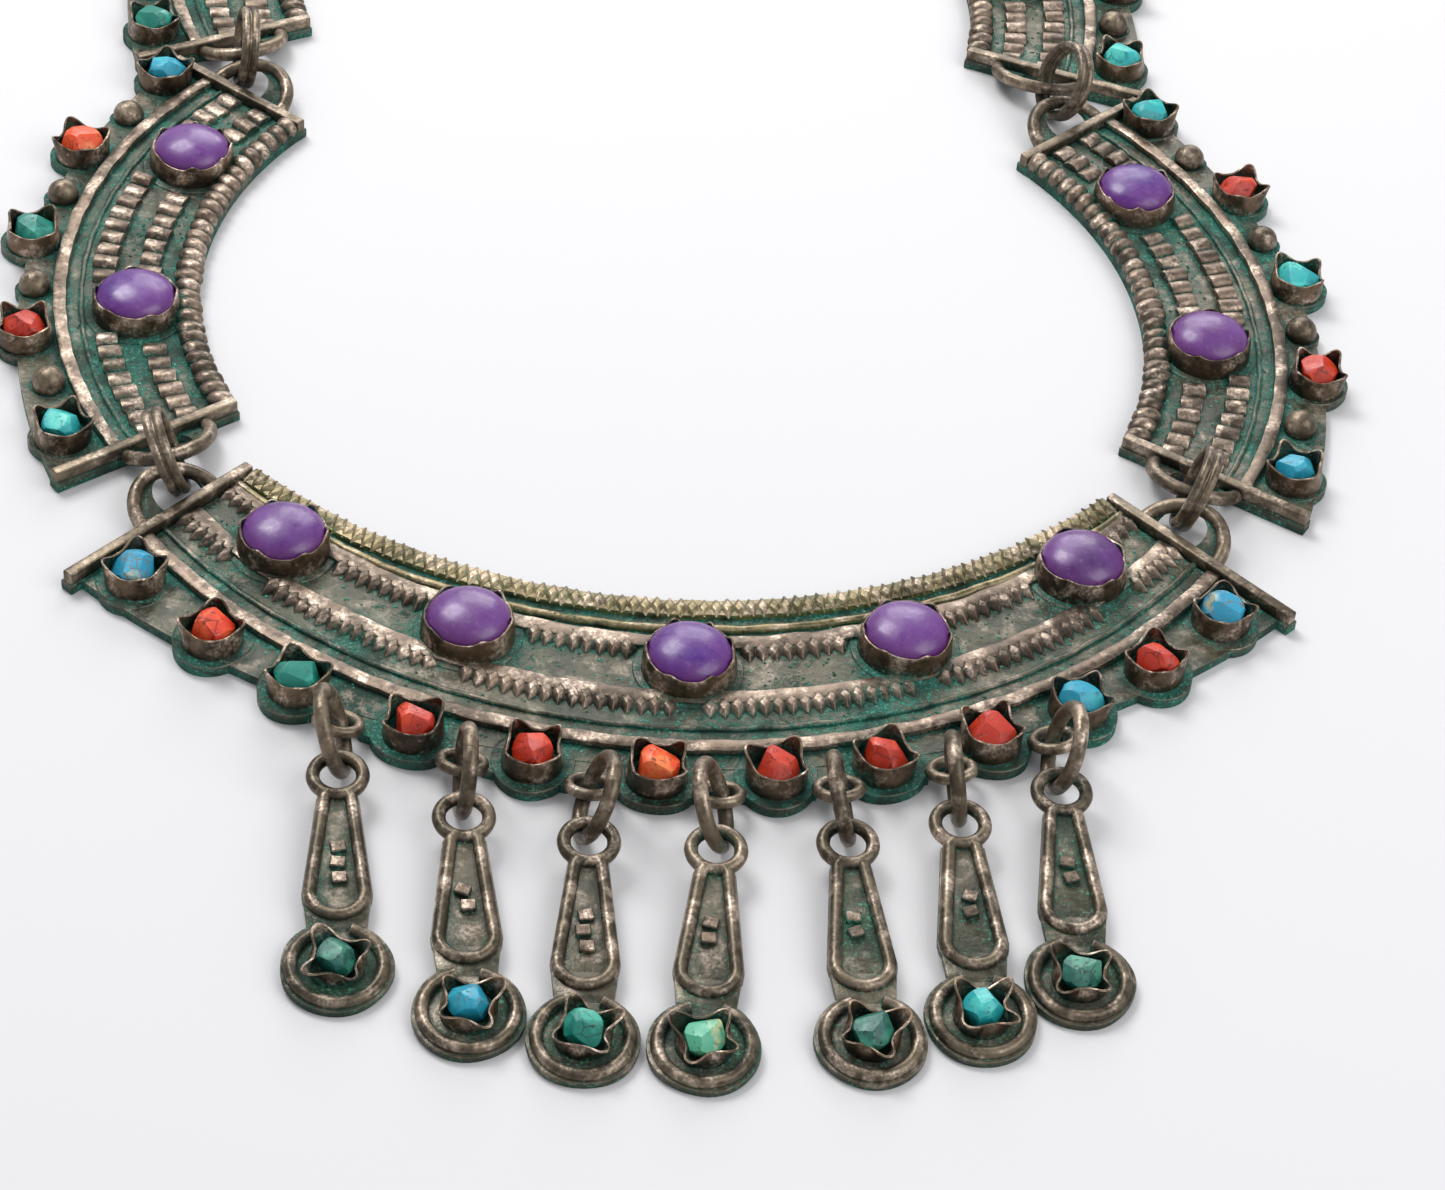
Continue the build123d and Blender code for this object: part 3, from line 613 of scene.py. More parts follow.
def lobe(x, y, radius, tall):
    """A round tongue of sheet whose edge is burred up a little, so that it catches light."""
    bpy.ops.mesh.primitive_cylinder_add(vertices=48, radius=radius, depth=tall, location=(0, 0, tall / 2))
    tongue = settle(bpy.context.object)
    into_edit(tongue)
    bpy.ops.mesh.select_all(action="DESELECT")
    bpy.ops.object.mode_set(mode="OBJECT")
    for face in tongue.data.polygons:
        face.select = face.normal.z > 0.9
    bpy.ops.object.mode_set(mode="EDIT")
    bpy.ops.mesh.inset(thickness=0.28)
    bpy.ops.transform.translate(value=(0, 0, -0.1))
    out_of_edit()
    for point in tongue.data.vertices:
        wave = 1 + 0.035 * math.sin(3 * math.atan2(point.co.y, point.co.x) + x)
        point.co.x *= wave
        point.co.y *= wave
    tongue.matrix_world = at(x, y)
    return wear(modify(tongue, "BEVEL", width=0.07, segments=1, limit_method="ANGLE"), silver_sheet)


left_corner = (-centre_corner[0], centre_corner[1])
band_middle = (0, 58.05)
band_angle = 2 * math.degrees(math.atan2(centre_corner[0], band_middle[1] - centre_corner[1]))
bar_overhang = 1.0
sheet_left = step_along(left_corner, 180 + centre_bar_lean, centre_bar_long - bar_overhang)
centre_sheet = spun_sheet(left_corner, sheet_left, band_middle, band_angle, 72, plate_thick)
skirt_reach = 1.8
skirt_start = on_circle(rim_place + skirt_reach, rim_bend - skirt_reach, rim_angles[2])
skirt_end = on_circle(rim_place - skirt_reach, rim_bend + skirt_reach, rim_angles[2])
skirt_thick = plate_thick - 0.05
skirt = spun_sheet(skirt_start, skirt_end, (0, rim_place + rim_bend), rim_angles[9] - rim_angles[2], 60,
                   skirt_thick)
bpy.ops.mesh.primitive_cylinder_add(vertices=32, radius=loop_radius, depth=4)
punch = bpy.context.object
punches = [twin(punch, at(x, y)) for x, y in loop_points]
punch_row = join("punch_row", punches)
modify(skirt, "BOOLEAN", object=punch_row, operation="DIFFERENCE")
for spare in (punch, punch_row):
    bpy.data.objects.remove(spare)
lobe_tall = plate_thick + 0.07
lobe_radius = cup_radius + 0.95
centre_parts = [centre_sheet, skirt] + [lobe(x, y, lobe_radius, lobe_tall) for x, y in rim_points]
print("sheet box", [round(v, 1) for v in centre_sheet.dimensions])

# %% [markdown]
# Along the bends lie strips of worked wire. The inner rim is a strip of small wedges. Two plain bands
# run the length of the plate, each with a row of wedges beside it that breaks off at every large stone.
# Thin wires lie inside the rim and inside the smooth band that closes the field outside. One stroke of
# each kind is modelled, and its copies are each a little different, as blows of a punch are.

# %% Worked strips
def bead(kind):
    """One stroke of a worked strip, a millimetre or so across, standing on z = 0."""
    if kind == "wedge":
        bpy.ops.mesh.primitive_cone_add(
            vertices=4, radius1=0.71, radius2=0.3, depth=0.5, location=(0, 0, 0.25))
        bpy.context.object.rotation_euler.z = math.pi / 4
    elif kind == "arch":
        bpy.ops.mesh.primitive_cylinder_add(vertices=12, radius=0.5, depth=1, rotation=(math.pi / 2, 0, 0))
        bpy.context.object.location = (0, 0, 0.1)
    else:
        bpy.ops.mesh.primitive_uv_sphere_add(segments=12, ring_count=8, radius=0.5, location=(0, 0, 0.1))
    stroke = settle(bpy.context.object)
    if kind != "cord":
        modify(stroke, "BEVEL", width=0.09, segments=2, limit_method="ANGLE")
    return wear(stroke, silver_strip)


strokes = {kind: bead(kind) for kind in ("wedge", "arch", "cord")}


def reach(place, bend, corner, lean, margin=0.4):
    """How far round a circle goes, in degrees, before it meets the end bar that leaves the corner."""
    normal = Vector((math.sin(math.radians(lean)), math.cos(math.radians(lean))))
    angle = 5.0
    while (Vector(on_circle(place, bend, angle)) - Vector(corner)).dot(normal) < -margin:
        angle += 0.1
    return angle


def both_ends(place, bend, corner, leans):
    return -reach(place, bend, corner, leans[0]), reach(place, bend, corner, leans[1])


def worked_row(place, bend, ends, pitch, kind, size, floor_z, slant=0.0, gaps=(), material=None):
    """A row of strokes along a circle, each a little different, with gaps round the settings."""
    start, end = ends
    count = round(math.radians(end - start) * bend / pitch)
    row = []
    for k in range(count):
        angle = start + (end - start) * (k + 0.5) / count
        x, y = on_circle(place, bend, angle)
        if any(math.hypot(x - gap_x, y - gap_y) < clear for gap_x, gap_y, clear in gaps):
            continue
        across = size[1] * chance.uniform(0.9, 1.08)
        tall = size[2] * chance.uniform(0.72, 1.12)
        turn = angle + slant + chance.uniform(-4, 4)
        stroke = twin(strokes[kind], at(x, y, floor_z, turn, (size[0], across, tall)))
        row.append(wear(stroke, material or silver_strip))
    return row


def crust_grains(count, rows, floor_z, spread):
    """Small grains of corrosion that lie along the hollows: rows are (place, bend, ends)."""
    bpy.ops.mesh.primitive_ico_sphere_add(subdivisions=1, radius=0.5)
    grain = bpy.context.object
    grains = []
    for _ in range(count):
        place, bend, (start, end) = rows[chance.randrange(len(rows))]
        side = chance.gauss(0, spread)
        x, y = on_circle(place + side, bend - side, chance.uniform(start, end))
        size = chance.uniform(0.14, 0.34)
        turn = chance.uniform(0, 360)
        lump = twin(grain, at(x, y, floor_z, turn, (size, size * chance.uniform(0.7, 1.3), size * 0.8)))
        grains.append(wear(lump, verdigris))
    bpy.data.objects.remove(grain)
    return grains


large_place, large_bend, large_pitch = 0.0, 46.9, 21.3
large_points = [on_circle(large_place, large_bend, large_pitch * k) for k in (-2, -1, 0, 1, 2)]
centre_gap, side_gap = 4.3, 4.5     # how far the strokes stay from a large stone's middle
centre_gaps = [(x, y, centre_gap) for x, y in large_points]
centre_leans = (centre_bar_lean, centre_bar_lean)
rim_floor = plate_thick - 0.1


def centre_ends(place, bend):
    return both_ends(place, bend, centre_corner, centre_leans)


def centre_bar(line, wide, tall, round_top, material, bevel=0.12):
    """A bar of the centre plate that runs from one end bar to the other."""
    return curved_bar(*line, centre_ends(*line), wide, tall, rim_floor, round_top, material, bevel)


# Each line is the place where it crosses the Y axis, and the radius of its bend.
rim_line, rim_wire_line, rim_thread_line = (6.6, 50.0), (4.35, 49.2), (3.3, 48.9)
field_lines = ((1.9, 47.7), (-4.2, 49.7))
outer_thread_line, outer_band_line = (-6.6, 51.3), (-8.8, 52.9)
centre_hollows = ((5.2, 49.6), (3.5, 49.0), (0.4, 47.8), (-1.4, 48.3), (-5.7, 50.7), (-7.7, 52.2),
                  (-10.0, 54.0))
band_shift = 0.9        # from a row of strokes to the plain band beside it
grain_spread = 0.35

centre_parts.append(centre_bar(rim_line, 1.75, 0.6, False, silver_yellow))
centre_parts += worked_row(*rim_line, centre_ends(*rim_line), 0.92, "wedge", (1.05, 1.8, 0.75),
                           rim_floor + 0.5, material=silver_yellow)
centre_parts.append(centre_bar(rim_wire_line, 0.75, 0.62, True, silver_yellow))
centre_parts.append(centre_bar(rim_thread_line, 0.4, 0.3, True, silver_sheet))
for place, bend in field_lines:
    ends = centre_ends(place, bend)
    centre_parts.append(curved_bar(place + band_shift, bend - band_shift, ends, 1.4, 0.5, rim_floor, False,
                                   silver_strip, 0.2))
    centre_parts += worked_row(place, bend, ends, 1.05, "wedge", (1.25, 1.9, 1.25), rim_floor + 0.1,
                               gaps=centre_gaps)
centre_parts.append(centre_bar(outer_thread_line, 0.5, 0.4, True, silver_sheet))
centre_parts.append(centre_bar(outer_band_line, 1.25, 0.75, False, silver_strip, 0.24))
hollow_rows = [(*line, centre_ends(*line)) for line in centre_hollows]
centre_parts += crust_grains(520, hollow_rows, plate_thick, grain_spread)
print("centre strokes", len(centre_parts))

# %% [markdown]
# A flat wire stands on edge across each end of the plate and takes the pull of the next plate. A bow of
# round wire on a tab of sheet rises from it. The bow is a circle that is pushed out, spun half a turn and
# pushed out again, so that it is one closed piece. Seven small rings on the front edge carry the drops.

# %% End bars and loops
bar_wide, bar_tall = 1.1, 0.9
end_loop_radius, end_loop_wire, end_loop_tilt, end_loop_height = 3.75, 0.6, 20.5, 0.98
end_loop_place, end_loop_stand = 7.0, 0.45
tab_thick, tab_low = 0.45, 0.21
tab_hole, tab_hole_room, tab_rim = 2.15, 2.1, 0.2


def end_bar(corner, direction, long):
    """A flat wire soldered on edge across the end of the plate, with the sheet showing under it."""
    middle = step_along(corner, direction, long / 2)
    bpy.ops.mesh.primitive_cube_add(size=1)
    bar = bpy.context.object
    bar.matrix_world = at(*middle, (plate_thick + bar_tall + 0.25) / 2 + 0.25, direction,
                          (long, bar_wide * 0.85, plate_thick + bar_tall - 0.5))
    settle(bar)
    modify(bar, "BEVEL", width=0.16, segments=3)
    bpy.ops.mesh.primitive_cube_add(size=1)
    lip = bpy.context.object
    lip.matrix_world = at(*middle, plate_thick / 2, direction, (long * 1.01, bar_wide * 1.15, plate_thick))
    settle(lip)
    modify(lip, "BEVEL", width=0.1, segments=2)
    return [wear(bar, silver_wire), wear(lip, silver_sheet)]


def end_loop(corner, bar_direction, outward, hole_direction):
    """A bow of round wire on a small tab of sheet, rising from the end bar."""
    x, y = step_along(step_along(corner, bar_direction, end_loop_place), outward, end_loop_stand)
    bpy.ops.mesh.primitive_circle_add(vertices=14, radius=end_loop_wire, fill_type="NGON",
                                      rotation=(math.pi / 2, 0, 0), location=(0, -end_loop_radius, 0))
    bow = settle(bpy.context.object)
    bow.data.transform(Matrix.Translation((0, -end_loop_radius, 0)).inverted())
    bow.data.transform(Matrix.Rotation(math.pi / 2, 4, "Z"))
    bow.data.transform(Matrix.Translation((-end_loop_stand, -end_loop_radius, 0)))
    into_edit(bow)
    bpy.ops.mesh.extrude_region_move(TRANSFORM_OT_translate={"value": (end_loop_stand, 0, 0)})
    bpy.ops.mesh.spin(steps=28, angle=math.pi, center=(0, 0, 0), axis=(0, 0, -1))
    bpy.ops.mesh.extrude_region_move(TRANSFORM_OT_translate={"value": (-end_loop_stand, 0, 0)})
    out_of_edit()
    bpy.ops.mesh.primitive_cylinder_add(
        vertices=56, radius=end_loop_radius - 0.1, depth=tab_thick, location=(0, 0, -tab_low))
    tab = settle(bpy.context.object)
    into_edit(tab)
    bpy.ops.mesh.bisect(plane_co=(-end_loop_stand, 0, 0), plane_no=(-1, 0, 0),
                        use_fill=True, clear_outer=True)
    out_of_edit()
    slide = end_loop_radius - tab_hole_room - tab_rim
    hole_x, hole_y = step_along((0, 0), hole_direction - outward, slide)
    bpy.ops.mesh.primitive_cylinder_add(vertices=40, radius=tab_hole, depth=3, location=(hole_x, hole_y, 0))
    hole = settle(bpy.context.object)
    modify(tab, "BOOLEAN", object=hole, operation="DIFFERENCE")
    bpy.data.objects.remove(hole)
    seat = (Matrix.Translation((x, y, end_loop_height)) @ Matrix.Rotation(math.radians(outward), 4, "Z")
            @ Matrix.Rotation(math.radians(-end_loop_tilt), 4, "Y"))
    for piece in (bow, tab):
        piece.matrix_world = seat
    return [wear(settle(bow), silver_wire), wear(settle(tab), silver_sheet)]


def edge_loop(x, y, direction):
    """A small ring half sunk in solder on the front edge, its outer side up."""
    bpy.ops.mesh.primitive_torus_add(
        major_radius=loop_radius, minor_radius=loop_wire, major_segments=40, minor_segments=12)
    ring = bpy.context.object
    lift = plate_thick + loop_wire - 0.15 + loop_radius * math.sin(math.radians(loop_tilt))
    ring.matrix_world = (Matrix.Translation((x, y, lift)) @ Matrix.Rotation(math.radians(direction), 4, "Z")
                         @ Matrix.Rotation(math.radians(-loop_tilt), 4, "Y"))
    return wear(settle(ring), silver_wire)


# The directions, in degrees, in which each side's loops and rings follow one another.
step_lists = {"right": (73.0, 105.0, 93.0, 174.0), "left": (77.0, 83.0, 84.0, 187.0)}
centre_parts += end_bar(centre_corner, -centre_bar_lean, centre_bar_long)
centre_parts += end_bar(left_corner, 180 + centre_bar_lean, centre_bar_long)
centre_parts += end_loop(centre_corner, -centre_bar_lean, 90 - centre_bar_lean, step_lists["right"][0])
centre_parts += end_loop(left_corner, 180 + centre_bar_lean, 90 + centre_bar_lean,
                         180 - step_lists["left"][0])
centre_parts += [edge_loop(x, y, angle - 90) for (x, y), angle in zip(loop_points, loop_angles)]
print("centre pieces", len(centre_parts))

# %% [markdown]
# The settings were soldered on last, each turned as it fell, so every copy gets a turn of its own. They
# sink a little into the sheet, as solder draws them in. Then all of the plate becomes one piece.

# %% Settings on the centre plate and the whole piece
setting_floor = plate_thick - 0.15
for number, (x, y) in enumerate(large_points):
    centre_parts.append(twin(large_settings[number % 3], at(x, y, setting_floor, chance.uniform(0, 360))))
for number, ((x, y), angle) in enumerate(zip(rim_points, rim_angles)):
    cup_turn = angle + 45 + chance.uniform(-14, 14)
    centre_parts.append(twin(cups[number % 4], at(x, y, setting_floor, cup_turn)))
hand_in(join("centre_plate_worked", centre_parts), "silver", "centre_plate")
print("centre plate joined")

# %% [markdown]
# Each side plate is the same design, so one is modelled where its own middle is, and copied to each
# place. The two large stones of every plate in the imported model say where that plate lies.

# %% Side plate
side_half_mouth = 19.7
side_bars = {"low": (17.0, 49.3), "top": (15.2, 56.5)}
side_rim_place, side_rim_bend, side_rim_pitch = -20.4, 48.4, 15.8
side_kinds = "TCTCT"
side_rim_angles = [side_rim_pitch * k for k in (-2, -1, 0, 1, 2)]
side_rim_points = [on_circle(side_rim_place, side_rim_bend, angle) for angle in side_rim_angles]
granule_angles = [side_rim_pitch * (k + 0.5) for k in (-2, -1, 0, 1)]
granule_points = [on_circle(side_rim_place + 0.9, side_rim_bend - 0.9, angle) for angle in granule_angles]
side_large_points = [on_circle(-11.0, 40.0, 31.2 * share) for share in (-0.39, 0.61)]
low_corner, top_corner = (-side_half_mouth, 0), (side_half_mouth, 0)
low_direction, top_direction = 180 + side_bars["low"][1], -side_bars["top"][1]
low_tip = step_along(low_corner, low_direction, side_bars["low"][0])
top_tip = step_along(top_corner, top_direction, side_bars["top"][0])


def bent_sheet(inner_edge, outer_edge, tall):
    """A sheet between two arcs that are bridged. Each is (left end, right end, Y of its middle)."""
    rims = []
    for left, right, middle_y in (inner_edge, outer_edge):
        half = (right[0] - left[0]) / 2
        base = (left[1] + right[1]) / 2
        drop = base - middle_y
        bend = (half ** 2 + drop ** 2) / (2 * drop)
        half_angle = math.degrees(math.asin(min(1, half / bend)))
        bpy.ops.mesh.primitive_circle_add(vertices=3, radius=1)
        rim = bpy.context.object
        into_edit(rim)
        bpy.ops.mesh.select_all(action="DESELECT")
        bpy.ops.object.mode_set(mode="OBJECT")
        rim.data.vertices[0].co = (left[0], left[1], 0)
        for point in rim.data.vertices:
            point.select = point.index > 0
        bpy.ops.object.mode_set(mode="EDIT")
        bpy.ops.mesh.delete(type="VERT")
        bpy.ops.mesh.select_all(action="SELECT")
        middle = ((left[0] + right[0]) / 2, middle_y + bend, 0)
        bpy.ops.mesh.spin(steps=40, angle=math.radians(2 * half_angle), center=middle, axis=(0, 0, -1))
        bpy.ops.object.mode_set(mode="OBJECT")
        rims.append(rim)
    sheet = join("bent_sheet", rims)
    into_edit(sheet)
    bpy.ops.mesh.bridge_edge_loops()
    bpy.ops.mesh.select_all(action="SELECT")
    bpy.ops.mesh.extrude_region_move(TRANSFORM_OT_translate={"value": (0, 0, tall)})
    out_of_edit()
    return wear(sheet, silver_sheet)


side_inner_middle = -5.68
side_lobe_radius, granule_lobe_radius = cup_radius + 0.5, 1.65
granule_radius, granule_middle = 1.4, 1.35
side_rim_line, side_thread_line, side_band_line = (-6.6, 37.9), (-15.6, 43.1), (-17.4, 44.3)
side_field_lines = ((-10.0, 39.8), (-13.8, 42.0))
side_hollows = ((-8.2, 38.8), (-11.9, 40.9), (-15.5, 43.2), (-18.6, 45.8))


def side_plate():
    parts = [bent_sheet((low_corner, top_corner, side_inner_middle), (low_tip, top_tip, side_rim_place),
                        plate_thick)]
    parts += [lobe(x, y, side_lobe_radius, lobe_tall) for x, y in side_rim_points]
    parts += [lobe(x, y, granule_lobe_radius, lobe_tall) for x, y in granule_points]
    gaps = [(x, y, side_gap) for x, y in side_large_points]

    def ends(place, bend):
        return both_ends(place, bend, top_corner, (side_bars["low"][1], side_bars["top"][1]))

    def side_bar(line, wide, tall, round_top, material, bevel=0.12):
        return curved_bar(*line, ends(*line), wide, tall, rim_floor, round_top, material, bevel)

    parts.append(side_bar(side_rim_line, 1.8, 0.5, False, silver_sheet))
    parts += worked_row(*side_rim_line, ends(*side_rim_line), 1.4, "cord", (1.7, 2.5, 1.7),
                        rim_floor + 0.35, slant=22)
    for line in side_field_lines:
        parts += worked_row(*line, ends(*line), 1.75, "arch", (1.8, 1.95, 1.35), rim_floor + 0.1,
                            slant=8, gaps=gaps)
    parts.append(side_bar(side_thread_line, 0.45, 0.35, True, silver_sheet))
    parts.append(side_bar(side_band_line, 1.15, 0.8, False, silver_strip, 0.24))
    hollow_rows = [(*line, ends(*line)) for line in side_hollows]
    parts += crust_grains(190, hollow_rows, plate_thick, grain_spread)
    parts += end_bar(low_corner, low_direction, side_bars["low"][0])
    parts += end_bar(top_corner, top_direction, side_bars["top"][0])
    for number, (x, y) in enumerate(side_large_points):
        parts.append(twin(large_settings[number + 1], at(x, y, setting_floor, chance.uniform(0, 360))))
    for number, ((x, y), angle) in enumerate(zip(side_rim_points, side_rim_angles)):
        parts.append(twin(cups[number % 4], at(x, y, setting_floor, angle + 45 + chance.uniform(-14, 14))))
    for x, y in granule_points:
        bpy.ops.mesh.primitive_uv_sphere_add(
            segments=24, ring_count=14, radius=granule_radius, location=(x, y, granule_middle))
        granule = bpy.context.object
        granule.scale = (chance.uniform(0.92, 1.04), chance.uniform(0.92, 1.04), chance.uniform(0.85, 1.0))
        parts.append(wear(granule, silver_wire))
    return join("side_plate_master", parts)


side_master = side_plate()
print("side plate faces", len(side_master.data.polygons))

# %% [markdown]
# The left side is the right one seen in a mirror. A mirrored mesh has its faces turned inside out, so
# they are flipped back. The end loops are made for each plate, because the hole in a loop's tab lies where
# that plate's own ring passes.

# %% Copies of the side plate
links = []
for side in ("right", "left"):
    mirror = Matrix.Scale(-1, 4, (1, 0, 0)) if side == "left" else Matrix()
    for number in (1, 2, 3):
        first, second = [box_middle(f"{side}_amethyst_{2 * number - 2 + k}") for k in (1, 2)]
        drawn = [mirror @ Vector((*point, 0)) for point in side_large_points]
        run, drawn_run = second - first, drawn[1] - drawn[0]
        turn = math.degrees(math.atan2(run.y, run.x) - math.atan2(drawn_run.y, drawn_run.x))
        spot = first.xy - (Matrix.Rotation(math.radians(turn), 4, "Z") @ drawn[0]).xy
        seat = at(spot.x, spot.y, 0, turn)
        spin = turn if side == "right" else -turn
        steps = step_lists[side][number - 1:number + 1]
        plate = twin(side_master)
        loops = end_loop(low_corner, low_direction, low_direction - 90, steps[0] + 180 - spin)
        loops += end_loop(top_corner, top_direction, top_direction + 90, steps[1] - spin)
        link = join(f"{side}_plate_{number}", [plate] + loops)
        link.data.transform(seat @ mirror)
        if side == "left":
            into_edit(link)
            bpy.ops.mesh.flip_normals()
            bpy.ops.object.mode_set(mode="OBJECT")
        links.append((side, number, seat @ mirror))
        hand_in(link, "silver", f"{side}_link_{number}")
bpy.data.objects.remove(side_master)
print("side plates", len(links))

# %% [markdown]
# A drop is bent from one length of wire on thin sheet: a round eye at the top, a narrow neck, two sides
# that spread to a rounded foot, and below it a disc with a ring of wire round a small cup. Tiny square
# scraps of metal were laid on the stem.

# %% Drop
drop_thick, drop_wire = 0.6, 0.52
drop_eye, drop_disc, drop_reach, drop_tilt = 1.85, 4.05, 17.6, 4.6
stem_top, stem_low = 1.0, 2.0
stem_inset, stem_long = 0.31, 10.9
stem_start, stem_end = drop_eye + stem_inset, drop_eye + stem_inset + stem_long
foot_half, foot_cover, disc_half, disc_cover = 2.4, 1.2, 2.1, 3.0
disc_ring_radius, disc_ring_wire = 3.3, 0.5
foot_y = -(stem_end - stem_low)


def stem_line(grow):
    """Points of the stem's outline from the neck round the foot and back."""
    points = [(-stem_top - grow, -stem_start)]
    for k in range(13):
        turn = math.radians(180 + 15 * k)
        points.append(((stem_low + grow) * math.cos(turn), foot_y + (stem_low + grow) * math.sin(turn)))
    points.append((stem_top + grow, -stem_start))
    return points


def wire_from(points, thick, height, closed):
    """A round wire through points, made as a curve and turned into a mesh."""
    line = bpy.data.curves.new("wire_line", "CURVE")
    line.dimensions = "3D"
    line.bevel_depth = thick
    line.bevel_resolution = 3
    line.use_fill_caps = True
    path = line.splines.new("POLY")
    path.points.add(len(points) - 1)
    for point, spot in zip(path.points, points):
        point.co = (*spot, height, 1)
    path.use_cyclic_u = closed
    wire = bpy.data.objects.new("wire", line)
    bpy.context.collection.objects.link(wire)
    pick(wire)
    bpy.ops.object.convert(target="MESH")
    return wear(bpy.context.object, silver_drop)


def flat_shape(points, low, tall, material):
    """A flat plate with the outline given by points."""
    bpy.ops.mesh.primitive_circle_add(vertices=len(points), radius=1, fill_type="NGON", location=(0, 0, low))
    shape = settle(bpy.context.object)
    for vertex, spot in zip(shape.data.vertices, points):
        vertex.co.x, vertex.co.y = spot
    into_edit(shape)
    bpy.ops.mesh.extrude_region_move(TRANSFORM_OT_translate={"value": (0, 0, tall)})
    out_of_edit()
    modify(shape, "BEVEL", width=0.08, segments=2, limit_method="ANGLE")
    return wear(shape, material)


def drop_master(number):
    """A drop in its own place: eye at the origin, hanging towards -Y."""
    draw = random.Random(40 + number)
    neck = stem_top - 0.35
    wire = [(-neck, -stem_start + 0.5)] + stem_line(0) + [(neck, -stem_start + 0.5)]
    parts = [wire_from(wire, drop_wire, drop_thick + 0.02, False)]
    bpy.ops.mesh.primitive_torus_add(major_radius=drop_eye, minor_radius=drop_wire, major_segments=44,
                                     minor_segments=12, location=(0, 0, drop_thick))
    parts.append(wear(bpy.context.object, silver_drop))
    parts.append(flat_shape(stem_line(drop_wire + draw.uniform(0.0, 0.12)), 0, drop_thick, silver_ground))
    disc_line = []
    for k in range(48):
        turn = math.radians(7.5 * k)
        wave = 0.012 * math.sin(3 * turn + number) + 0.008 * math.sin(5 * turn + 2 * number)
        radius = drop_disc * (1 + wave)
        disc_line.append((radius * math.cos(turn), radius * math.sin(turn) - drop_reach))
    parts.append(flat_shape(disc_line, 0, drop_thick, silver_ground))
    disc_y, foot_end_y = -drop_reach + disc_cover, -stem_end + foot_cover
    neck_line = [(-disc_half, disc_y), (disc_half, disc_y), (foot_half, foot_end_y), (-foot_half, foot_end_y)]
    parts.append(flat_shape(neck_line, 0.02, drop_thick, silver_ground))
    opening = draw.uniform(16, 26)
    ring_line = [step_along((0, -drop_reach), 90 + opening + (360 - 2 * opening) * k / 40, disc_ring_radius)
                 for k in range(41)]
    parts.append(wire_from(ring_line, disc_ring_wire, drop_thick + 0.08, False))
    star_place = at(0, -drop_reach, drop_thick - 0.12, 45 + draw.uniform(-24, 24), (0.88, 0.88, 0.72))
    parts.append(twin(stars[number % 3], star_place))
    for k in range(draw.choice((1, 2, 2, 3))):
        bpy.ops.mesh.primitive_cube_add(size=1)
        scrap = bpy.context.object
        scrap.matrix_world = at(draw.uniform(-0.3, 0.3), -stem_start - 4.8 - 1.4 * k, drop_thick + 0.2,
                                draw.uniform(-30, 30), (1.15, 0.95, 0.5))
        settle(scrap)
        modify(scrap, "BEVEL", width=0.1, segments=1)
        parts.append(wear(scrap, silver_strip))
    return join(f"drop_{number}_worked", parts)


drop_turns = (2.4, 2.4, -1.3, -4.0, 2.8, 1.2, -0.5)
drop_gems = (deep_green, sky_blue, sea_green, pale_green, deep_green, clear_blue, deep_green)
drop_gem_middle = 1.6   # height of a drop's stone, from the underside of its disc to its own middle
drop_chip_floor, drop_chip_top, drop_chip_inner = 0.75, 2.75, 1.72
eye_lift = (drop_reach + drop_disc) * math.sin(math.radians(drop_tilt))
for number, (turn, gem) in enumerate(zip(drop_turns, drop_gems), 1):
    disc = box_middle(f"drop_turquoise_{number}")
    slope = math.radians(drop_tilt)
    back = drop_reach * math.cos(slope) - drop_gem_middle * math.sin(slope)
    eye_x, eye_y = step_along(disc.xy, turn + 90, back)
    seat = at(eye_x, eye_y, eye_lift, turn, lean=drop_tilt)
    drop = drop_master(number)
    drop.data.transform(seat)
    hand_in(drop, "silver", f"drop_{number}")
    chip = set_chip(f"drop_chip_{number}", (0, 0, drop_chip_floor), drop_chip_inner, drop_chip_top,
                    chance.uniform(0, 180), 0.86, gem)
    settle(chip)
    chip.data.transform(seat @ Matrix.Translation((0, -drop_reach, 0)))
    hand_in(chip, "turquoise", f"drop_turquoise_{number}")
print("drops done")

# %% [markdown]
# The violet stones are smooth domes with flat undersides. A sphere does it: its lower part is pressed
# flat, its height is squashed, and it is made slightly uneven, because they were rubbed down by hand.

# %% Violet domes
dome_radius, dome_low, dome_top = 3.3, 2.62, 4.2


def dome(name, x, y, material):
    bpy.ops.mesh.primitive_uv_sphere_add(segments=64, ring_count=32, radius=1)
    stone = bpy.context.object
    for point in stone.data.vertices:
        side = math.hypot(point.co.x, point.co.y)
        point.co.z = max(point.co.z, -0.6)
        bulge = 1 + 0.012 * math.sin(2.1 * point.co.x + x) + 0.012 * math.sin(2.7 * point.co.y + y)
        point.co.z *= bulge * (1 - 0.04 * side)
    size = (dome_radius, dome_radius, dome_top - dome_low)
    stone.matrix_world = at(x, y, dome_low, chance.uniform(0, 360), size)
    settle(stone)
    stone.name = name
    into_edit(stone)
    bpy.ops.mesh.remove_doubles(threshold=0.001)
    out_of_edit()
    return wear(stone, material)


for number, (x, y) in enumerate(large_points, 1):
    stone = dome(f"centre_dome_{number}", x, y, violet[(number - 1) % 5])
    hand_in(stone, "amethyst", f"centre_amethyst_{number}")
for side in ("right", "left"):
    for number in range(1, 7):
        spot = box_middle(f"{side}_amethyst_{number}")
        stone = dome(f"{side}_dome_{number}", spot.x, spot.y, violet[(number + (side == "left")) % 5])
        hand_in(stone, "amethyst", f"{side}_amethyst_{number}")
print("domes done")

# %% [markdown]
# The small stones along the edges are the tumbled chips, each turned, stretched and leant its own way.
# Where blue-green and orange-red ones sit follows the order on the necklace.

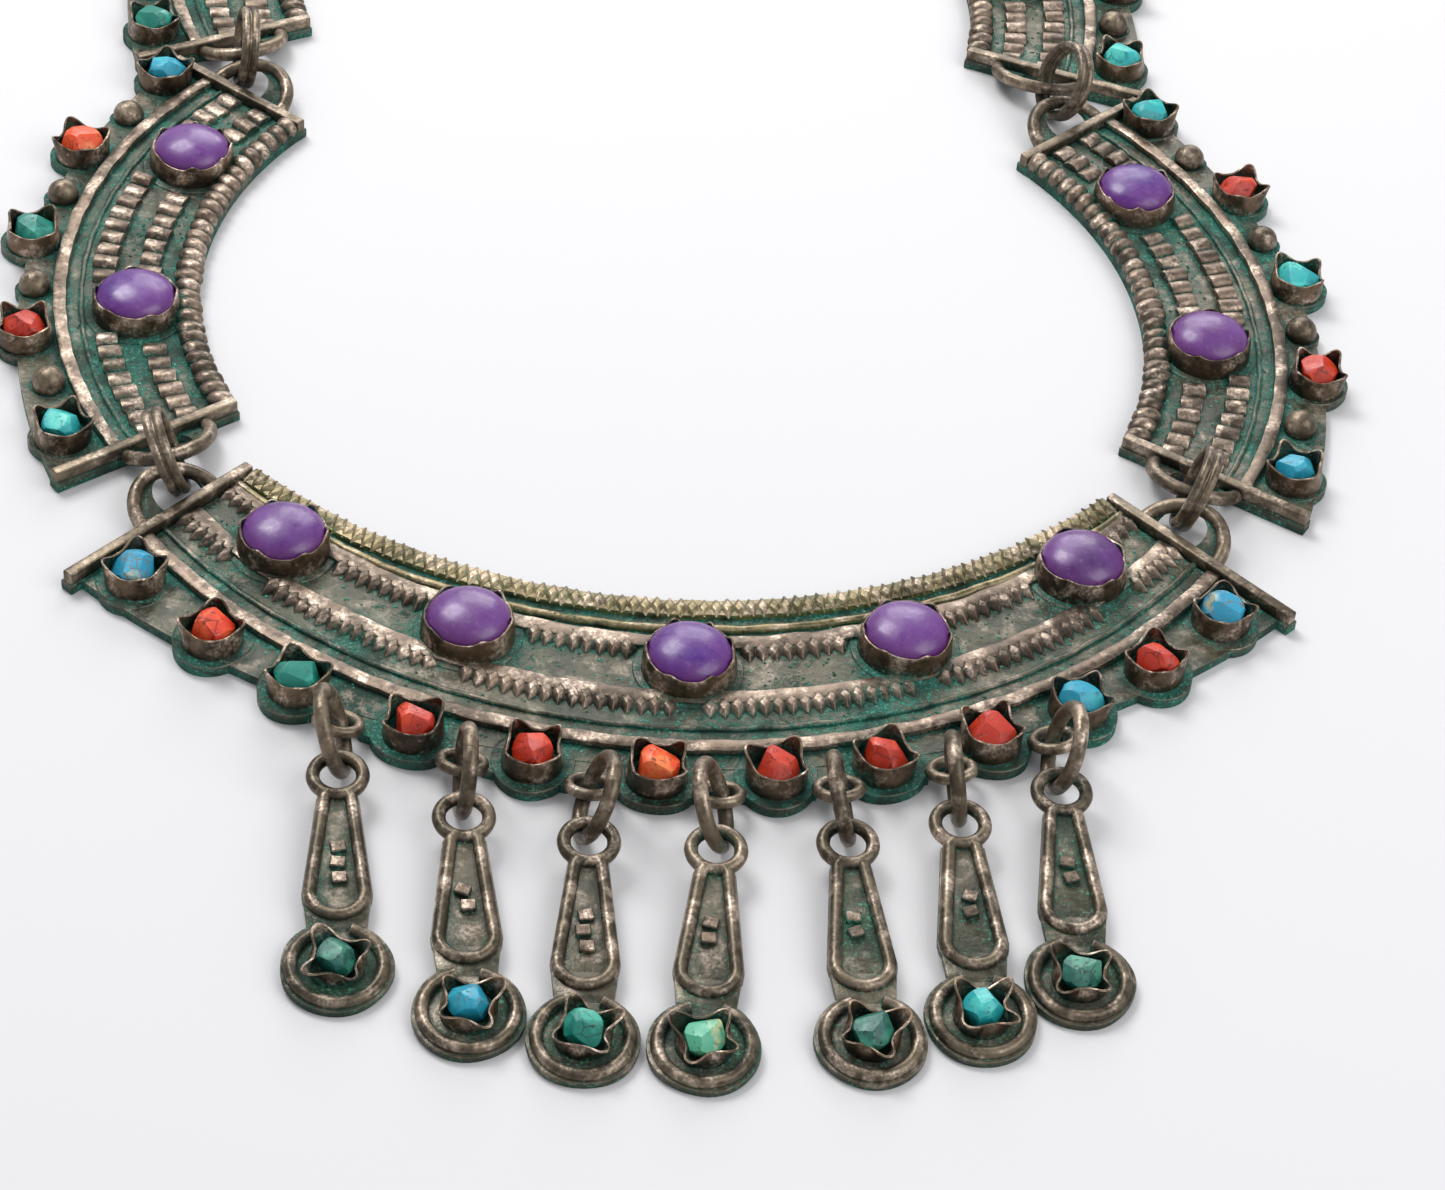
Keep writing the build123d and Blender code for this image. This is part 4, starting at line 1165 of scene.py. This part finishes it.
# %% Chips in the edge settings
chip_floor, chip_top, chip_inner = plate_thick + 0.15, 3.3, 2.02
gems = {"T": [], "C": []}
centre_gems = {0: sky_tan, 2: sea_green, 9: sky_blue, 11: sky_tan}
for number, ((x, y), angle, kind) in enumerate(zip(rim_points, rim_angles, rim_kinds)):
    gem = centre_gems[number] if kind == "T" else coral_red[chance.randrange(3)]
    chip = set_chip("chip", (x, y, chip_floor), chip_inner, chip_top, angle + chance.uniform(-40, 40),
                    chance.uniform(0.72, 0.98), gem, chance.uniform(-9, 9))
    gems[kind].append(chip)
hand_in(join("centre_turquoise_chips", gems["T"]), "turquoise", "centre_turquoises")
hand_in(join("centre_coral_chips", gems["C"]), "coral", "centre_corals")
side_gems = {"right": (sky_blue, clear_blue, clear_blue), "left": (clear_blue, sea_green, sky_blue)}
for side in ("right", "left"):
    gems = {"T": [], "C": []}
    for _, number, seat in [link for link in links if link[0] == side]:
        for count, ((x, y), kind) in enumerate(zip(side_rim_points, side_kinds)):
            spot = seat @ Vector((x, y, 0))
            blue = side_gems[side][(count // 2 + number - 1) % 3]
            gem = blue if kind == "T" else coral_red[chance.randrange(3)]
            gems[kind].append(set_chip("chip", (spot.x, spot.y, chip_floor), chip_inner, chip_top,
                                       chance.uniform(0, 360), chance.uniform(0.76, 0.98), gem,
                                       chance.uniform(-9, 9)))
    hand_in(join(f"{side}_turquoise_chips", gems["T"]), "turquoise", f"{side}_turquoises")
    hand_in(join(f"{side}_coral_chips", gems["C"]), "coral", f"{side}_corals")
print("edge chips done")

# %% [markdown]
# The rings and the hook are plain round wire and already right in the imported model, so they stay and
# only change their material.

# %% Rings and hook
wires = [node for name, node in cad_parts.items() if "ring" in name or "hook" in name]
for node in wires:
    wear(node, silver_wire)
print("rings and hook", len(wires))

# %% [markdown]
# The masters that were only there to be copied are removed.

# %% Clean up and finish
for master in large_settings + cups + stars + chips + list(strokes.values()):
    bpy.data.objects.remove(master)
